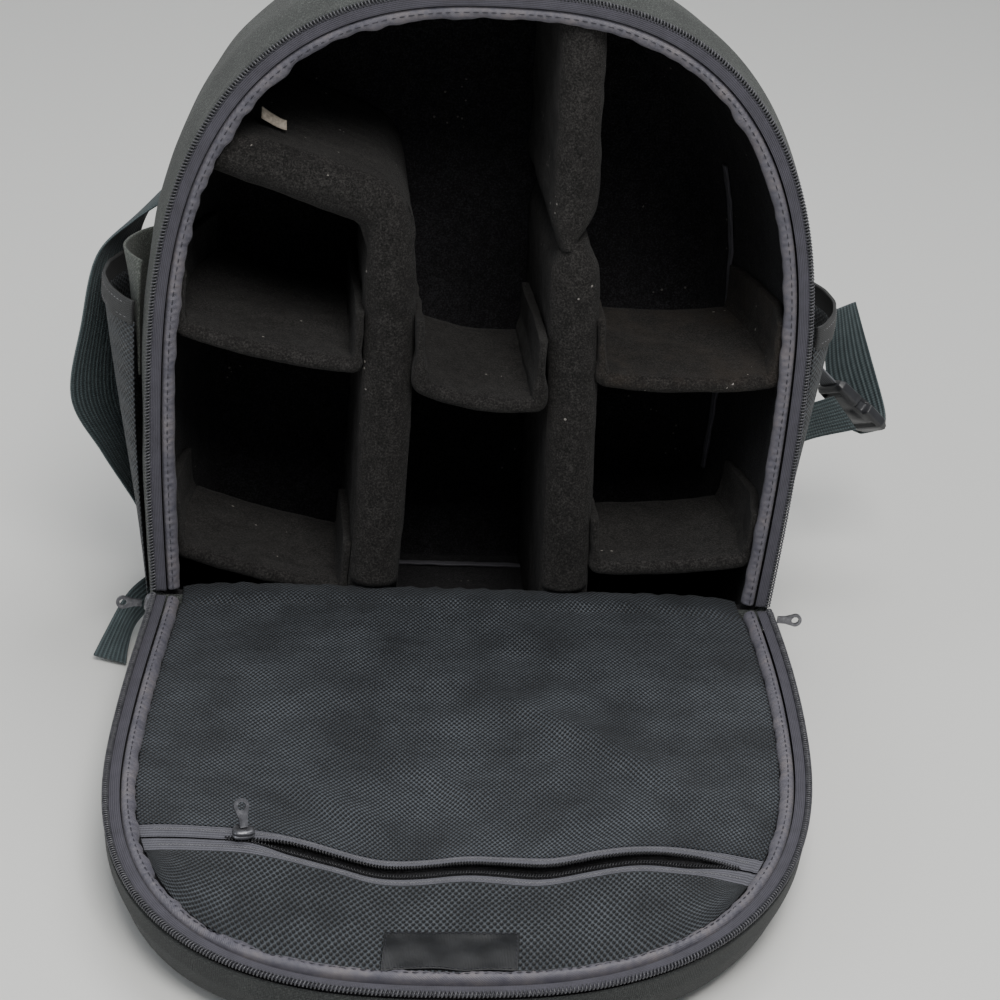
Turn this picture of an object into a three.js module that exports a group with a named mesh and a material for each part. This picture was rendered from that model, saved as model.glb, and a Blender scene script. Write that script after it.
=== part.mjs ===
// Camera backpack, standing open: the bag stands on its base and its zipped front panel lies
// lowered on the floor before it. Millimetres, +X to the viewer's right, +Y to the worn side, +Z up.
// The origin is the centre of the flat base.
import * as THREE from "three";

// Line of the zip teeth round the opening; the front panel has the same outline
const hingeHeight = 45;
const hingeHalfWidth = 155;
const wideHalfWidth = 160;
const wideHeight = 155;
const archTop = 355;
const archPower = 2.57;

// Bag body
const openingPlane = -75;
const bagDepth = 143;
const backInset = 24;
const baseCorner = 18;
const clothWall = 3;
const foamSide = 8;
const foamFront = 7;
const foamFloor = 5.6;
const foamBack = 14;
const lip = 0.8;
const kerbHeight = 41;
const kerbCorner = 2.5;
const clearance = 0.35;
const softGap = 0.7;

// Zips and edge binding
const coilRadius = 1.6;
const tapeWidth = 4.2;
const tapeThickness = 1;
const bindingWidth = 6.5;
const bindingDepth = 5.4;
const sliderLength = 10;
const sliderWidth = 9;
const sliderThickness = 4;
const pullLength = 12;
const pullWidth = 7;
const pullThickness = 1.3;
const eyeRadius = 1.9;

// Front panel, lowered
const panelDrop = 17;
const panelSkew = 28;
const hingeReach = 5;
const panelWall = 2.5;
const panelFoam = 6;
const panelRecess = 4;
const netThickness = 1.2;
const netRise = 9;
const panelEndBand = 6;
const panFlare = 20;
const hingeRise = 3.6;
const pocketZipPlace = 222;
const pocketGap = 3.6;
const pocketTape = 5;
const pocketCoil = 1.1;
const zipReach = 0.97;
const pocketSliderAcross = -0.72;
const pocketPullTurn = 20;
const pocketPullRise = 62;
const panCorner = 10;
const padEdge = 2;
const labelWidth = 56;
const labelLength = 24;

// Padded dividers and shelves
const dividerThickness = 25;
const dividerFront = -69;
const dividerLeftPlace = -46.5;
const dividerRightPlace = 37;
const dividerRightLean = 18;
const bendHeight = 247;
const armEndHeight = 271;
const jointHeight = 236;
const shelfThickness = 8;
const flapThickness = 4.5;
const flapHeight = 27;
const shelfFront = -66;
const tagWidth = 12;
const tagHeight = 8;
const seamWidth = 3.5;

// Straps and side pockets
const webbingThickness = 1.8;
const pocketBulge = 22;
const pocketTop = 178;
const pocketBase = 30;
const pocketFront = -50;
const pocketBack = 45;
const pocketBand = 11;
const buckleLength = 38;
const buckleWidth = 27;
const buckleThickness = 9;
const buckleOut = 59;
const buckleBack = 57;
const buckleHeight = 103;
const buckleSlope = 42;
const buckleRoll = -35;
const greyStrapWidth = 14;

// Worn side
const backPadHalfWidth = 96;
const backPadLow = 40;
const backPadHigh = archTop - 53;
const backPadThickness = 10;
const harnessWidth = 53;
const harnessThickness = 11;
const harnessBow = 10;
const webbingWidth = 25;
const handleReach = 44;
const handleRise = 40;
const handleBow = 24;
const handleWidth = 22;

const heather = finish(0x4b524f, 0.95);
const felt = finish(0x17171a, 1);
const satin = finish(0x77747d, 0.6);
const tapeCloth = finish(0x2a2a30, 0.9);
const teeth = finish(0x34343a, 0.45);
const netting = finish(0x1d2228, 0.85);
const greyTape = finish(0x6e7078, 0.85);
const blackSatin = finish(0x101214, 0.5);
const webbing = finish(0x2c3a3c, 0.85);
const metal = finish(0x55565c, 0.35, 0.8);
const plastic = finish(0x3a3b40, 0.45);
const linen = finish(0xc9bfae, 0.95);

// How finely the outline is faceted
const archSteps = 36;
const baseSteps = 6;

const group = new THREE.Group();

function finish(color, roughness, metalness = 0) {
  return new THREE.MeshStandardMaterial({ color, roughness, metalness });
}

// Names a closed body of shared points and turns its faces outwards
function body(name, points, faces, material) {
  let volume = 0;
  for (const [a, b, c] of faces) {
    volume += points[a].dot(points[b].clone().cross(points[c]));
  }
  const index = faces.flatMap(([a, b, c]) => (volume < 0 ? [a, c, b] : [a, b, c]));
  const geometry = new THREE.BufferGeometry().setFromPoints(points);
  geometry.setIndex(index);
  geometry.computeVertexNormals();
  const mesh = new THREE.Mesh(geometry, material);
  mesh.name = name;
  group.add(mesh);
}

// Skins a row of closed rings that have equal counts of points. Fan ends close round their middle;
// strip ends pair each point of the ring's first half with its partner in the second half.
function loft(name, rings, ends, material) {
  const count = rings[0].length;
  const points = rings.flat();
  const faces = [];
  for (let row = 0; row + 1 < rings.length; row += 1) {
    for (let k = 0; k < count; k += 1) {
      const next = (k + 1) % count;
      const a = row * count;
      faces.push([a + k, a + next, a + count + next]);
      faces.push([a + k, a + count + next, a + count + k]);
    }
  }
  for (const [row, turn] of [[0, 1], [rings.length - 1, 0]]) {
    const start = row * count;
    const close = (a, b, c) => faces.push(turn ? [a, c, b] : [a, b, c]);
    if (ends === "fan") {
      const middle = new THREE.Vector3();
      rings[row].forEach((point) => middle.addScaledVector(point, 1 / count));
      points.push(middle);
      for (let k = 0; k < count; k += 1) {
        close(points.length - 1, start + k, start + ((k + 1) % count));
      }
    } else {
      for (let k = 0; k + 1 < count / 2; k += 1) {
        const partner = count - 1 - k;
        close(start + k, start + k + 1, start + partner - 1);
        close(start + k, start + partner - 1, start + partner);
      }
    }
  }
  body(name, points, faces, material);
}

// Sheet between two surfaces of (u, v), each from 0 to 1
function sheet(name, upper, lower, rows, columns, material) {
  const rings = steps(rows).map((u) => [
    ...steps(columns).map((v) => upper(u, v)),
    ...steps(columns).map((v) => lower(u, 1 - v)),
  ]);
  loft(name, rings, "strip", material);
}

function steps(count) {
  return Array.from({ length: count + 1 }, (_, k) => k / count);
}

function mix(a, b, share) {
  return a + (b - a) * share;
}

// Value of a column at a place in a table whose rows rise in another column
function lookUp(table, at, column, place) {
  const after = Math.max(table.findIndex((row) => row[at] >= place), 1);
  const low = table[after - 1];
  const high = table[after];
  const share = Math.min(Math.max((place - low[at]) / (high[at] - low[at]), 0), 1);
  return mix(low[column], high[column], share);
}

// Half-width of the opening's outline at a height, drawn in by an inset
function halfWidth(height, inset) {
  const wide = wideHalfWidth - inset;
  if (height <= wideHeight) {
    const turn = (Math.PI / 2) * ((height - hingeHeight) / (wideHeight - hingeHeight));
    return mix(hingeHalfWidth - inset, wide, Math.sin(turn));
  }
  const rise = Math.min((height - wideHeight) / (archTop - inset - wideHeight), 1);
  return wide * (1 - rise ** archPower) ** (1 / archPower);
}

// Height of the same outline over a place across the bag
function archHeight(x, inset) {
  const share = Math.min(Math.abs(x) / (wideHalfWidth - inset), 1);
  const rise = (1 - share ** archPower) ** (1 / archPower);
  return mix(wideHeight, archTop - inset, rise);
}

// Outline from its right foot over the arch to its left foot as evenly spaced (x, height) pairs
function archPath(inset, low, corner, count) {
  const right = [];
  const foot = low + corner;
  const footX = halfWidth(foot, inset);
  if (corner > 0) {
    for (const share of steps(6).slice(0, -1)) {
      const turn = (Math.PI / 2) * share;
      right.push([footX - corner * (1 - Math.sin(turn)), foot - corner * Math.cos(turn)]);
    }
  }
  for (const share of steps(16).slice(0, -1)) {
    const height = mix(foot, wideHeight, share);
    right.push([halfWidth(height, inset), height]);
  }
  for (const share of steps(48)) {
    const turn = (Math.PI / 2) * share;
    const rise = Math.sin(turn) ** (2 / archPower);
    const across = Math.max(Math.cos(turn), 0) ** (2 / archPower);
    right.push([across * (wideHalfWidth - inset), mix(wideHeight, archTop - inset, rise)]);
  }
  const left = right.slice(0, -1).reverse().map(([x, height]) => [-x, height]);
  return evenly([...right, ...left], count);
}

function evenly(path, count) {
  const along = [0];
  for (let k = 1; k < path.length; k += 1) {
    along.push(along[k - 1] + Math.hypot(path[k][0] - path[k - 1][0], path[k][1] - path[k - 1][1]));
  }
  const table = path.map(([x, height], k) => ({ along: along[k], x, height }));
  const length = along[along.length - 1];
  return steps(count).map((share) => [
    lookUp(table, "along", "x", share * length),
    lookUp(table, "along", "height", share * length),
  ]);
}

// Closed ring of the same outline with a straight base
function outline(inset, low, corner, place) {
  const arch = archPath(inset, low, corner, archSteps);
  const [footX, footHeight] = arch[0];
  const base = steps(baseSteps).slice(1, -1).map((share) => [mix(-footX, footX, share), footHeight]);
  return [...arch, ...base].map(([x, height]) => place(x, height));
}

// How the sides and top draw in from the opening to the back, in shares of depth and backInset
const bodySections = [
  { depth: 0, draw: 0 },
  { depth: 0.2, draw: -0.13 },
  { depth: 0.5, draw: 0 },
  { depth: 0.7, draw: 0.17 },
  { depth: 0.86, draw: 0.42 },
  { depth: 0.95, draw: 0.7 },
  { depth: 1, draw: 1 },
];

const shellFront = openingPlane + 1;
const shellBack = openingPlane + bagDepth;
const shellInset = -1;
const liningFront = shellFront + clothWall + clearance;
const liningBack = shellBack - clothWall - clearance;
const liningInset = shellInset + clothWall + clearance;
const roomFront = liningFront + foamFront;
const roomBack = liningBack - foamBack;
const roomInset = liningInset + foamSide;
const roomFloor = clothWall + clearance + foamFloor;

function sectionRings(front, back, inset, low) {
  return bodySections.map(({ depth, draw }) =>
    outline(inset + backInset * draw, low, Math.max(baseCorner - low, 6), (x, height) =>
      new THREE.Vector3(x, mix(front, back, depth), height)));
}

// Cup with a raised kerb under its opening
function cup(name, outer, inner, kerbInset, material) {
  const kerb = (y) => outline(kerbInset, kerbHeight, kerbCorner, (x, height) =>
    new THREE.Vector3(x, y, height));
  const outside = sectionRings(outer.front, outer.back, outer.inset, outer.low);
  const inside = sectionRings(inner.front, inner.back, inner.inset, inner.low);
  loft(name, [...outside.reverse(), kerb(outer.front), kerb(inner.front), ...inside], "fan", material);
}

cup("outer_shell",
  { front: shellFront, back: shellBack, inset: shellInset, low: 0 },
  {
    front: shellFront + clothWall,
    back: shellBack - clothWall,
    inset: shellInset + clothWall,
    low: clothWall,
  },
  shellInset + clothWall - lip, heather);

cup("padded_lining",
  { front: liningFront, back: liningBack, inset: liningInset, low: clothWall + clearance },
  { front: roomFront, back: roomBack, inset: roomInset, low: roomFloor },
  roomInset - lip, felt);

// Inset of the room's side walls at a depth
function roomSide(y) {
  const depth = (y - roomFront) / (roomBack - roomFront);
  return roomInset + backInset * lookUp(bodySections, "depth", "draw", Math.min(Math.max(depth, 0), 1));
}

function outerSide(y) {
  const depth = (y - shellFront) / (shellBack - shellFront);
  return shellInset + backInset * lookUp(bodySections, "depth", "draw", depth);
}

// Strip carried round the opening, or round the panel's rim, from one zip end to the other
function archStrip(name, section, place, material) {
  const arches = section.map(([inset, out]) =>
    archPath(inset, zipFoot, 0, archSteps).map(([x, height]) => place(x, height, out)));
  const rings = arches[0].map((_, k) => arches.map((arch) => arch[k]));
  loft(name, rings, "fan", material);
}

function round(radius, sides) {
  return steps(sides).slice(1).map((share) => {
    const turn = 2 * Math.PI * share;
    return [radius * Math.cos(turn), radius * Math.sin(turn)];
  });
}

function oblong(insetA, insetB, low, high) {
  return [[insetA, low], [insetB, low], [insetB, high], [insetA, high]];
}

// Rolled edge binding as (inset, height over its seat) pairs, in shares of its width and depth
function rolledEdge(seat) {
  const shape = [[0, 0], [0, 0.7], [0.35, 1], [0.85, 0.85], [1, 0.1]];
  return shape.map(([across, out]) => [bindingInset + bindingWidth * across, seat + bindingDepth * out]);
}

const zipFoot = kerbHeight + 5;
const coilSeat = clearance + coilRadius;
const tapeInset = coilRadius + clearance;
const bindingInset = tapeInset + tapeWidth + clearance;
const onOpening = (x, height, out) => new THREE.Vector3(x, shellFront - out, height);
archStrip("opening_zip_coil",
  round(coilRadius, 5).map(([inset, out]) => [inset, coilSeat + out]), onOpening, teeth);
archStrip("opening_zip_tape",
  oblong(tapeInset, tapeInset + tapeWidth, coilSeat - tapeThickness / 2, coilSeat + tapeThickness / 2),
  onOpening, tapeCloth);
archStrip("opening_binding", rolledEdge(shellFront - liningFront + clearance), onOpening, satin);

// Lowered panel: places across it, along it from the hinge, and above the plane of its rim
const panelLength = archTop - hingeHeight;
const panelStart = openingPlane - hingeReach;

function rimHeight(along) {
  return hingeHeight - panelDrop * (along / panelLength);
}

function onPanel(x, along, up) {
  const swing = panelSkew * (Math.max(along, 0) / panelLength) ** 1.3;
  return new THREE.Vector3(x - swing, panelStart - along, rimHeight(along) + up);
}

// The band between teeth and binding widens towards the panel's far end
function inboard(x, along, up) {
  return onPanel(x, along - panelEndBand * (Math.max(along, 0) / panelLength) ** 8, up);
}

// How the panel's pan narrows from its rim to the floor, in shares of the fall and of panFlare
const panSections = [
  { fall: 0.04, draw: 0 },
  { fall: 0.35, draw: 0.05 },
  { fall: 0.75, draw: 0.3 },
  { fall: 1, draw: 1 },
];

function panRing(inset, fall, floor) {
  return outline(inset, panFoot + inset, panCorner, (x, height) => {
    const along = height - hingeHeight;
    const top = along < panLow ? padTop - clearance : 0;
    const point = onPanel(x, along, top);
    point.z = mix(point.z, floor, fall);
    return point;
  });
}

const panFoot = hingeHeight + hingeReach + 2;
const panLow = hingeReach + 2 * panCorner;
const padTop = -panelRecess;
const panInside = shellInset + panelWall;
const panOutside = panSections.map(({ fall, draw }) => panRing(shellInset + panFlare * draw, fall, 0));
const panRoom = panSections.map(({ fall, draw }) => panRing(panInside + panFlare * draw, fall, panelWall));
loft("panel_shell", [...panOutside.reverse(), ...panRoom], "fan", heather);

const padInset = panInside + 2 * softGap;
const padRing = (inset, up) => outline(inset, panFoot + inset, panCorner, (x, height) =>
  onPanel(x, height - hingeHeight, up));
loft("panel_padding", [
  padRing(padInset + padEdge, padTop - panelFoam),
  padRing(padInset, padTop - panelFoam / 2),
  padRing(padInset + padEdge, padTop),
], "fan", felt);

const onRim = (x, height, out) => onPanel(x, height - hingeHeight, out);
const insideRim = (x, height, out) => inboard(x, height - hingeHeight, out);
archStrip("panel_zip_coil",
  round(coilRadius, 5).map(([inset, out]) => [inset, coilRadius + out]), onRim, teeth);
archStrip("panel_zip_tape", oblong(tapeInset, tapeInset + tapeWidth, 0, tapeThickness), onRim, tapeCloth);
archStrip("panel_binding", rolledEdge(padTop + clearance), insideRim, satin);

// Cloth hinge: a padded fold laid over the kerb, from inside the room out to the panel
const netInset = bindingInset + bindingWidth + softGap;
const hingeSpan = hingeHalfWidth - netInset - kerbCorner;
const hingeUnder = kerbHeight + clearance;
const hingeInside = roomFront + 1;
const netStart = hingeReach - 1;
const hingeOutside = panelStart - netStart + clearance;
const hingeFold = (u, v) => new THREE.Vector3(
  mix(-hingeSpan, hingeSpan, u),
  mix(hingeInside, hingeOutside, v),
  hingeUnder + 1 + hingeRise * Math.sin(Math.PI * 0.72 * v) ** 0.6,
);
const hingeSeat = (u, v) => new THREE.Vector3(
  mix(-hingeSpan, hingeSpan, u), mix(hingeInside, hingeOutside, v), hingeUnder);
sheet("panel_hinge", hingeFold, hingeSeat, 8, 5, felt);

// Line of the pocket zip, in shares of the net's half-width and of pocketZipPlace
const pocketZipLine = [
  { across: -1, along: 0.905 },
  { across: -0.7, along: 0.915 },
  { across: -0.45, along: 0.975 },
  { across: -0.25, along: 1.03 },
  { across: 0.02, along: 1.005 },
  { across: 0.3, along: 1.025 },
  { across: 0.6, along: 0.96 },
  { across: 0.82, along: 0.965 },
  { across: 1, along: 0.99 },
];

function pocketZip(across) {
  return pocketZipPlace * lookUp(pocketZipLine, "across", "along", across);
}

// Folds of the slack net: place and reach in shares of half-width and length, rise of netRise
const netFolds = [
  { across: -0.45, along: 0.2, wide: 0.3, long: 0.16, rise: 0.45 },
  { across: 0.35, along: 0.42, wide: 0.22, long: 0.3, rise: 0.35 },
  { across: -0.7, along: 0.5, wide: 0.16, long: 0.18, rise: -0.3 },
  { across: -0.1, along: 0.56, wide: 0.12, long: 0.14, rise: -0.35 },
];

function netHeight(x, along) {
  const half = halfWidth(along + hingeHeight, netInset);
  const across = Math.min(Math.abs(x) / Math.max(half, 1), 1) * Math.sign(x);
  const length = along / panelLength;
  const edge = (1 - across ** 4) * Math.min(1, (1 - length) / 0.12);
  const folds = netFolds.reduce((sum, fold) => {
    const a = (across - fold.across) / fold.wide;
    const b = (length - fold.along) / fold.long;
    return sum + fold.rise * Math.exp(-a * a - b * b);
  }, 0.3 + 0.1 * Math.exp(-length * 9));
  return Math.max(netRise * edge * folds, 0);
}

function overPad(x, along, up) {
  return inboard(x, along, padTop + clearance + netHeight(x, along) + up);
}

// Places across the panel that the zip's pieces and both nets share
const zipHalf = halfWidth(pocketZipPlace + hingeHeight, netInset);
const zipSteps = 16;
const zipSide = pocketGap / 2;
const coilFar = zipSide + 2 * pocketCoil;
const tapeReach = coilFar + clearance + pocketTape;

function netSheet(name, edges, rows) {
  const surface = (up) => (u, v) => {
    const [x, along] = edges(mix(-zipReach, zipReach, v), u);
    return overPad(x, along, up);
  };
  sheet(name, surface(netThickness), surface(0), rows, zipSteps, netting);
}

netSheet("pocket_net_upper", (across, u) => {
  const along = mix(netStart, pocketZip(across) - tapeReach - clearance, u);
  const wide = halfWidth(along + hingeHeight, netInset) / zipReach;
  return [across * mix(wide, zipHalf, u ** 4), along];
}, 9);
netSheet("pocket_net_lower", (across, u) => {
  const x = across * zipHalf;
  const start = pocketZip(across) + tapeReach + clearance;
  return [x, mix(start, Math.max(archHeight(x, netInset) - hingeHeight, start + clearance), u)];
}, 4);

// Strip of the pocket zip between two distances from its line; side is -1 towards the hinge
function pocketStrip(name, side, near, far, thickness, reach, material) {
  const corner = (offset, up) => (across) =>
    overPad(across * zipHalf, pocketZip(across) + side * offset, up);
  const corners = [corner(near, 0), corner(near, thickness), corner(far, thickness), corner(far, 0)];
  const rings = steps(zipSteps).map((share) => {
    const across = mix(-zipReach, zipReach, share);
    return corners.map((place) => place(Math.max(Math.min(across, reach), -reach)));
  });
  loft(name, rings, "fan", material);
}

for (const [place, side] of [["upper", -1], ["lower", 1]]) {
  pocketStrip(`pocket_coil_${place}`, side, zipSide, coilFar, 2 * pocketCoil, 0.9, teeth);
  const tapeNear = coilFar + clearance;
  pocketStrip(`pocket_tape_${place}`, side, tapeNear, tapeReach, tapeThickness, zipReach, greyTape);
}

// Blank sewn label at the panel's far end, lying on the net
const labelEnd = panelLength - netInset - 1;
const labelFace = (up) => (u, v) => {
  const x = mix(-labelWidth / 2, labelWidth / 2, v);
  return overPad(x, mix(labelEnd - labelLength, labelEnd, u), netThickness + clearance + up);
};
sheet("panel_label", labelFace(tapeThickness), labelFace(0), 2, 4, blackSatin);

// Zip sliders. Those of the opening are parked below the zip ends, in front of the kerb

// Rounded block as wide, long and thick as given, waisted in the middle
function sliderBody(name, centre, across, along, up) {
  const outlinePoints = [[0, -0.5], [0.36, -0.42], [0.5, -0.1], [0.4, 0.3], [0.16, 0.5]];
  const plan = [...outlinePoints, ...outlinePoints.slice(1).reverse().map(([a, b]) => [-a, b])];
  const layers = [[-0.5, 0.8], [-0.25, 1], [0.25, 1], [0.5, 0.8]];
  const rings = layers.map(([level, size]) => plan.map(([a, b]) => centre.clone()
    .addScaledVector(across, a * size * sliderWidth)
    .addScaledVector(along, b * size * sliderLength)
    .addScaledVector(up, level * sliderThickness)));
  loft(name, rings, "fan", metal);
}

// Flat pull with an eye: plate of a given length from its pin, and its broad direction

const pinReach = pullThickness * Math.SQRT1_2 + clearance;

function pull(name, pin, outward, broad) {
  const shape = new THREE.Shape();
  const tip = pullLength - pullWidth / 2;
  shape.moveTo(-pullThickness / 2, -pullWidth * 0.25);
  shape.lineTo(tip * 0.4, -pullWidth * 0.28);
  shape.lineTo(tip, -pullWidth / 2);
  shape.absarc(tip, 0, pullWidth / 2, -Math.PI / 2, Math.PI / 2);
  shape.lineTo(tip * 0.4, pullWidth * 0.28);
  shape.lineTo(-pullThickness / 2, pullWidth * 0.25);
  const eye = new THREE.Path();
  eye.absarc(tip, 0, eyeRadius, 0, 2 * Math.PI);
  shape.holes.push(eye);
  const geometry = new THREE.ExtrudeGeometry(shape, {
    depth: pullThickness,
    bevelEnabled: false,
    curveSegments: 5,
  });
  geometry.translate(0, 0, -pullThickness / 2);
  const face = outward.clone().cross(broad);
  geometry.applyMatrix4(new THREE.Matrix4().makeBasis(outward, broad, face));
  geometry.translate(pin.x, pin.y, pin.z);
  const mesh = new THREE.Mesh(geometry, metal);
  mesh.name = name;
  group.add(mesh);
}

const axisX = new THREE.Vector3(1, 0, 0);
const axisY = new THREE.Vector3(0, 1, 0);
const axisZ = new THREE.Vector3(0, 0, 1);
const sliderTop = zipFoot - coilRadius - clearance;
for (const [place, side] of [["left", -1], ["right", 1]]) {
  const centre = new THREE.Vector3(
    side * (hingeHalfWidth + 1),
    shellFront - clearance - sliderThickness / 2,
    sliderTop - sliderLength / 2,
  );
  sliderBody(`slider_${place}`, centre, axisX, axisZ, axisY);
  const pin = centre.clone().addScaledVector(axisX, side * (sliderWidth / 2 + pinReach));
  pull(`pull_${place}`, pin, axisX.clone().multiplyScalar(side), axisZ);
}

const pocketSliderSeat = overPad(
  pocketSliderAcross * zipHalf,
  pocketZip(pocketSliderAcross),
  2 * pocketCoil + clearance + sliderThickness / 2,
);
sliderBody("pocket_slider", pocketSliderSeat, axisY, axisX, axisZ);
const pullTurn = THREE.MathUtils.degToRad(pocketPullTurn);
const pullRise = THREE.MathUtils.degToRad(pocketPullRise);
const pullBroad = axisX.clone().applyAxisAngle(axisZ, pullTurn);
const pullOutward = axisY.clone().applyAxisAngle(axisZ, pullTurn).applyAxisAngle(pullBroad, pullRise);
const pocketPin = pocketSliderSeat.clone().addScaledVector(axisZ, sliderThickness / 2 + pinReach);
pull("pocket_pull", pocketPin, pullOutward, pullBroad);

// Padded boards seen from the front: two sides of (x, z) pairs at each depth
function board(name, depths, sides, material) {
  const rings = depths.map((row) => {
    const [one, other] = sides(row);
    return [...one, ...other.reverse()].map(([x, z]) => new THREE.Vector3(x, row.y, z));
  });
  loft(name, rings, "strip", material);
}

// Moves each point of a path sideways, across its mean direction
function shifted(path, distance) {
  return path.map(([x, z], k) => {
    const [ax, az] = path[Math.max(k - 1, 0)];
    const [bx, bz] = path[Math.min(k + 1, path.length - 1)];
    const length = Math.hypot(bx - ax, bz - az);
    return [x + (distance * (bz - az)) / length, z - (distance * (bx - ax)) / length];
  });
}

// Depths of a divider with its rounded front edge; over the kerb its foot is cut back
const overKerb = kerbHeight + hingeRise + 4;
const dividerDepths = [
  { y: dividerFront, swell: 0.5, foot: overKerb },
  { y: dividerFront + 1.5, swell: 0.82, foot: overKerb },
  { y: hingeInside + clearance, swell: 0.97, foot: overKerb },
  { y: hingeInside + 2 * clearance, swell: 0.98, foot: roomFloor + clearance },
  { y: mix(roomFront, roomBack, 0.5), swell: 1, foot: roomFloor + clearance },
  { y: mix(roomFront, roomBack, 0.8), swell: 1, foot: roomFloor + clearance },
  { y: roomBack - softGap, swell: 1, foot: roomFloor + clearance },
];

// Left divider: a post whose top bends over to the left wall, in shares of the arm's reach and rise
const armBend = [
  { reach: 0, rise: -0.9 },
  { reach: 0.03, rise: -0.35 },
  { reach: 0.13, rise: 0 },
  { reach: 0.28, rise: 0.22 },
  { reach: 0.6, rise: 0.62 },
  { reach: 1, rise: 1 },
];

board("divider_left", dividerDepths, ({ y, swell, foot }) => {
  const wall = -(halfWidth(armEndHeight, roomSide(y)) - softGap);
  const arm = armBend.map(({ reach, rise }) => [
    mix(dividerLeftPlace, wall, reach),
    bendHeight + (armEndHeight - bendHeight) * rise,
  ]);
  const path = [[dividerLeftPlace, foot], [dividerLeftPlace, mix(foot, arm[0][1], 0.6)], ...arm];
  return [-0.5, 0.5].map((side) => {
    const edge = shifted(path, side * dividerThickness * swell);
    const last = edge[edge.length - 1];
    last[0] = -(halfWidth(last[1], roomSide(y)) - softGap);
    edge[0][1] = foot;
    return edge;
  });
}, felt);

// Right divider: one leaning line, made of two pieces that meet at the joint
function dividerRight(z) {
  const fall = (archTop - z) / archTop;
  return dividerRightPlace + dividerRightLean * Math.max(fall, 0) ** 1.3;
}

board("divider_right_upper", dividerDepths, ({ y, swell }) => {
  return [-0.5, 0.5].map((side) => {
    const offset = side * dividerThickness * 0.88 * swell;
    const roof = archHeight(dividerRight(archTop) + offset, roomSide(y)) - softGap;
    return steps(3).map((share) => {
      const z = mix(jointHeight + clearance, roof, share);
      return [dividerRight(z) + offset, z];
    });
  });
}, felt);

board("divider_right_lower", dividerDepths, ({ swell, foot }) => {
  return [-0.5, 0.5].map((side) => steps(4).map((share) => {
    const z = mix(foot, jointHeight, share);
    return [dividerRight(z) + side * dividerThickness * swell, z];
  }));
}, felt);

// Where a shelf may end: a side wall of the room, or a face of a divider
const dividerHalf = dividerThickness / 2 + clearance;
const shelfStops = {
  wallLeft: (z, y) => -(halfWidth(z, roomSide(y)) - softGap),
  wallRight: (z, y) => halfWidth(z, roomSide(y)) - softGap,
  leftOuter: () => dividerLeftPlace - dividerHalf,
  leftInner: () => dividerLeftPlace + dividerHalf,
  rightInner: (z) => dividerRight(z) - dividerHalf,
  rightOuter: (z) => dividerRight(z) + dividerHalf,
};

// Shelves with turned-up ends; heights in shares of archTop, depth in shares of the room's
const shelves = [
  { name: "shelf_left_upper", from: "wallLeft", to: "leftOuter", start: 0.515, end: 0.468, depth: 0.93 },
  { name: "shelf_left_lower", from: "wallLeft", to: "leftOuter", start: 0.172, end: 0.115, depth: 0.68 },
  { name: "shelf_centre", from: "leftInner", to: "rightInner", start: 0.448, end: 0.425, depth: 0.78 },
  { name: "shelf_right_upper", from: "rightOuter", to: "wallRight", start: 0.462, end: 0.468, depth: 0.82 },
  { name: "shelf_right_lower", from: "rightOuter", to: "wallRight", start: 0.172, end: 0.19, depth: 0.62 },
];
const shelfDepths = [
  { share: 0, swell: 0.55 },
  { share: 0.03, swell: 0.9 },
  { share: 0.3, swell: 1 },
  { share: 0.65, swell: 1 },
  { share: 1, swell: 0.9 },
];

for (const { name, from, to, start, end, depth } of shelves) {
  const low = archTop * Math.min(start, end) - shelfThickness < overKerb;
  const shelfStart = low ? hingeInside + clearance : shelfFront;
  const shelfBack = mix(shelfFront, roomBack - softGap, depth);
  const rows = shelfDepths.map(({ share, swell }) => ({ y: mix(shelfStart, shelfBack, share), swell }));
  board(name, rows, ({ y, swell }) => {
    const left = archTop * start;
    const right = archTop * end;
    const half = (shelfThickness / 2) * swell;
    const fold = flapThickness * swell;
    const across = (share, inner) => {
      const z = mix(left, right, share);
      const a = shelfStops[from](z, y) + inner;
      return [mix(a, shelfStops[to](z, y) - inner, share), z];
    };
    const flap = (share, inner) => {
      const z = mix(left, right, share) + flapHeight;
      return [share ? shelfStops[to](z, y) - inner : shelfStops[from](z, y) + inner, z];
    };
    const column = (inner, lift) => {
      const floor = [0, 0.33, 0.67, 1].map((share) => across(share, inner));
      return [flap(0, inner), ...floor.map(([x, z]) => [x, z + lift]), flap(1, inner)];
    };
    return [column(0, -half), column(fold, half)];
  }, felt);
}

// Thin linen care tag standing on the left divider's arm
const tagReach = 0.62;
const tagFront = -40;
const tagFloor = mix(bendHeight, armEndHeight, 0.66) + dividerThickness / 2 + clearance;
const tagPlace = mix(dividerLeftPlace, -(halfWidth(armEndHeight, roomSide(tagFront)) - softGap), tagReach);
const tagFace = (lean) => (u, v) => new THREE.Vector3(
  tagPlace - tagWidth * (v - 0.5), tagFront + lean + 3 * u * u, tagFloor + 2.5 * v + tagHeight * u);
sheet("lining_tag", tagFace(0), tagFace(tapeThickness * 0.8), 2, 2, linen);

// Bound seams of the lining: one up the right back corner, one along the floor's back edge
const seamDepth = 0.86;
const seamY = mix(roomFront, roomBack, seamDepth);
const seamSpan = { low: 0.21, high: 0.69 };
const seamFace = (inner) => (u, v) => {
  const z = archTop * mix(seamSpan.low, seamSpan.high, u);
  const y = seamY - seamWidth * (1 - v);
  return new THREE.Vector3(halfWidth(z, roomSide(y)) - softGap - inner, y, z);
};
sheet("corner_binding_right", seamFace(0), seamFace(1.2), 6, 1, satin);

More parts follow.
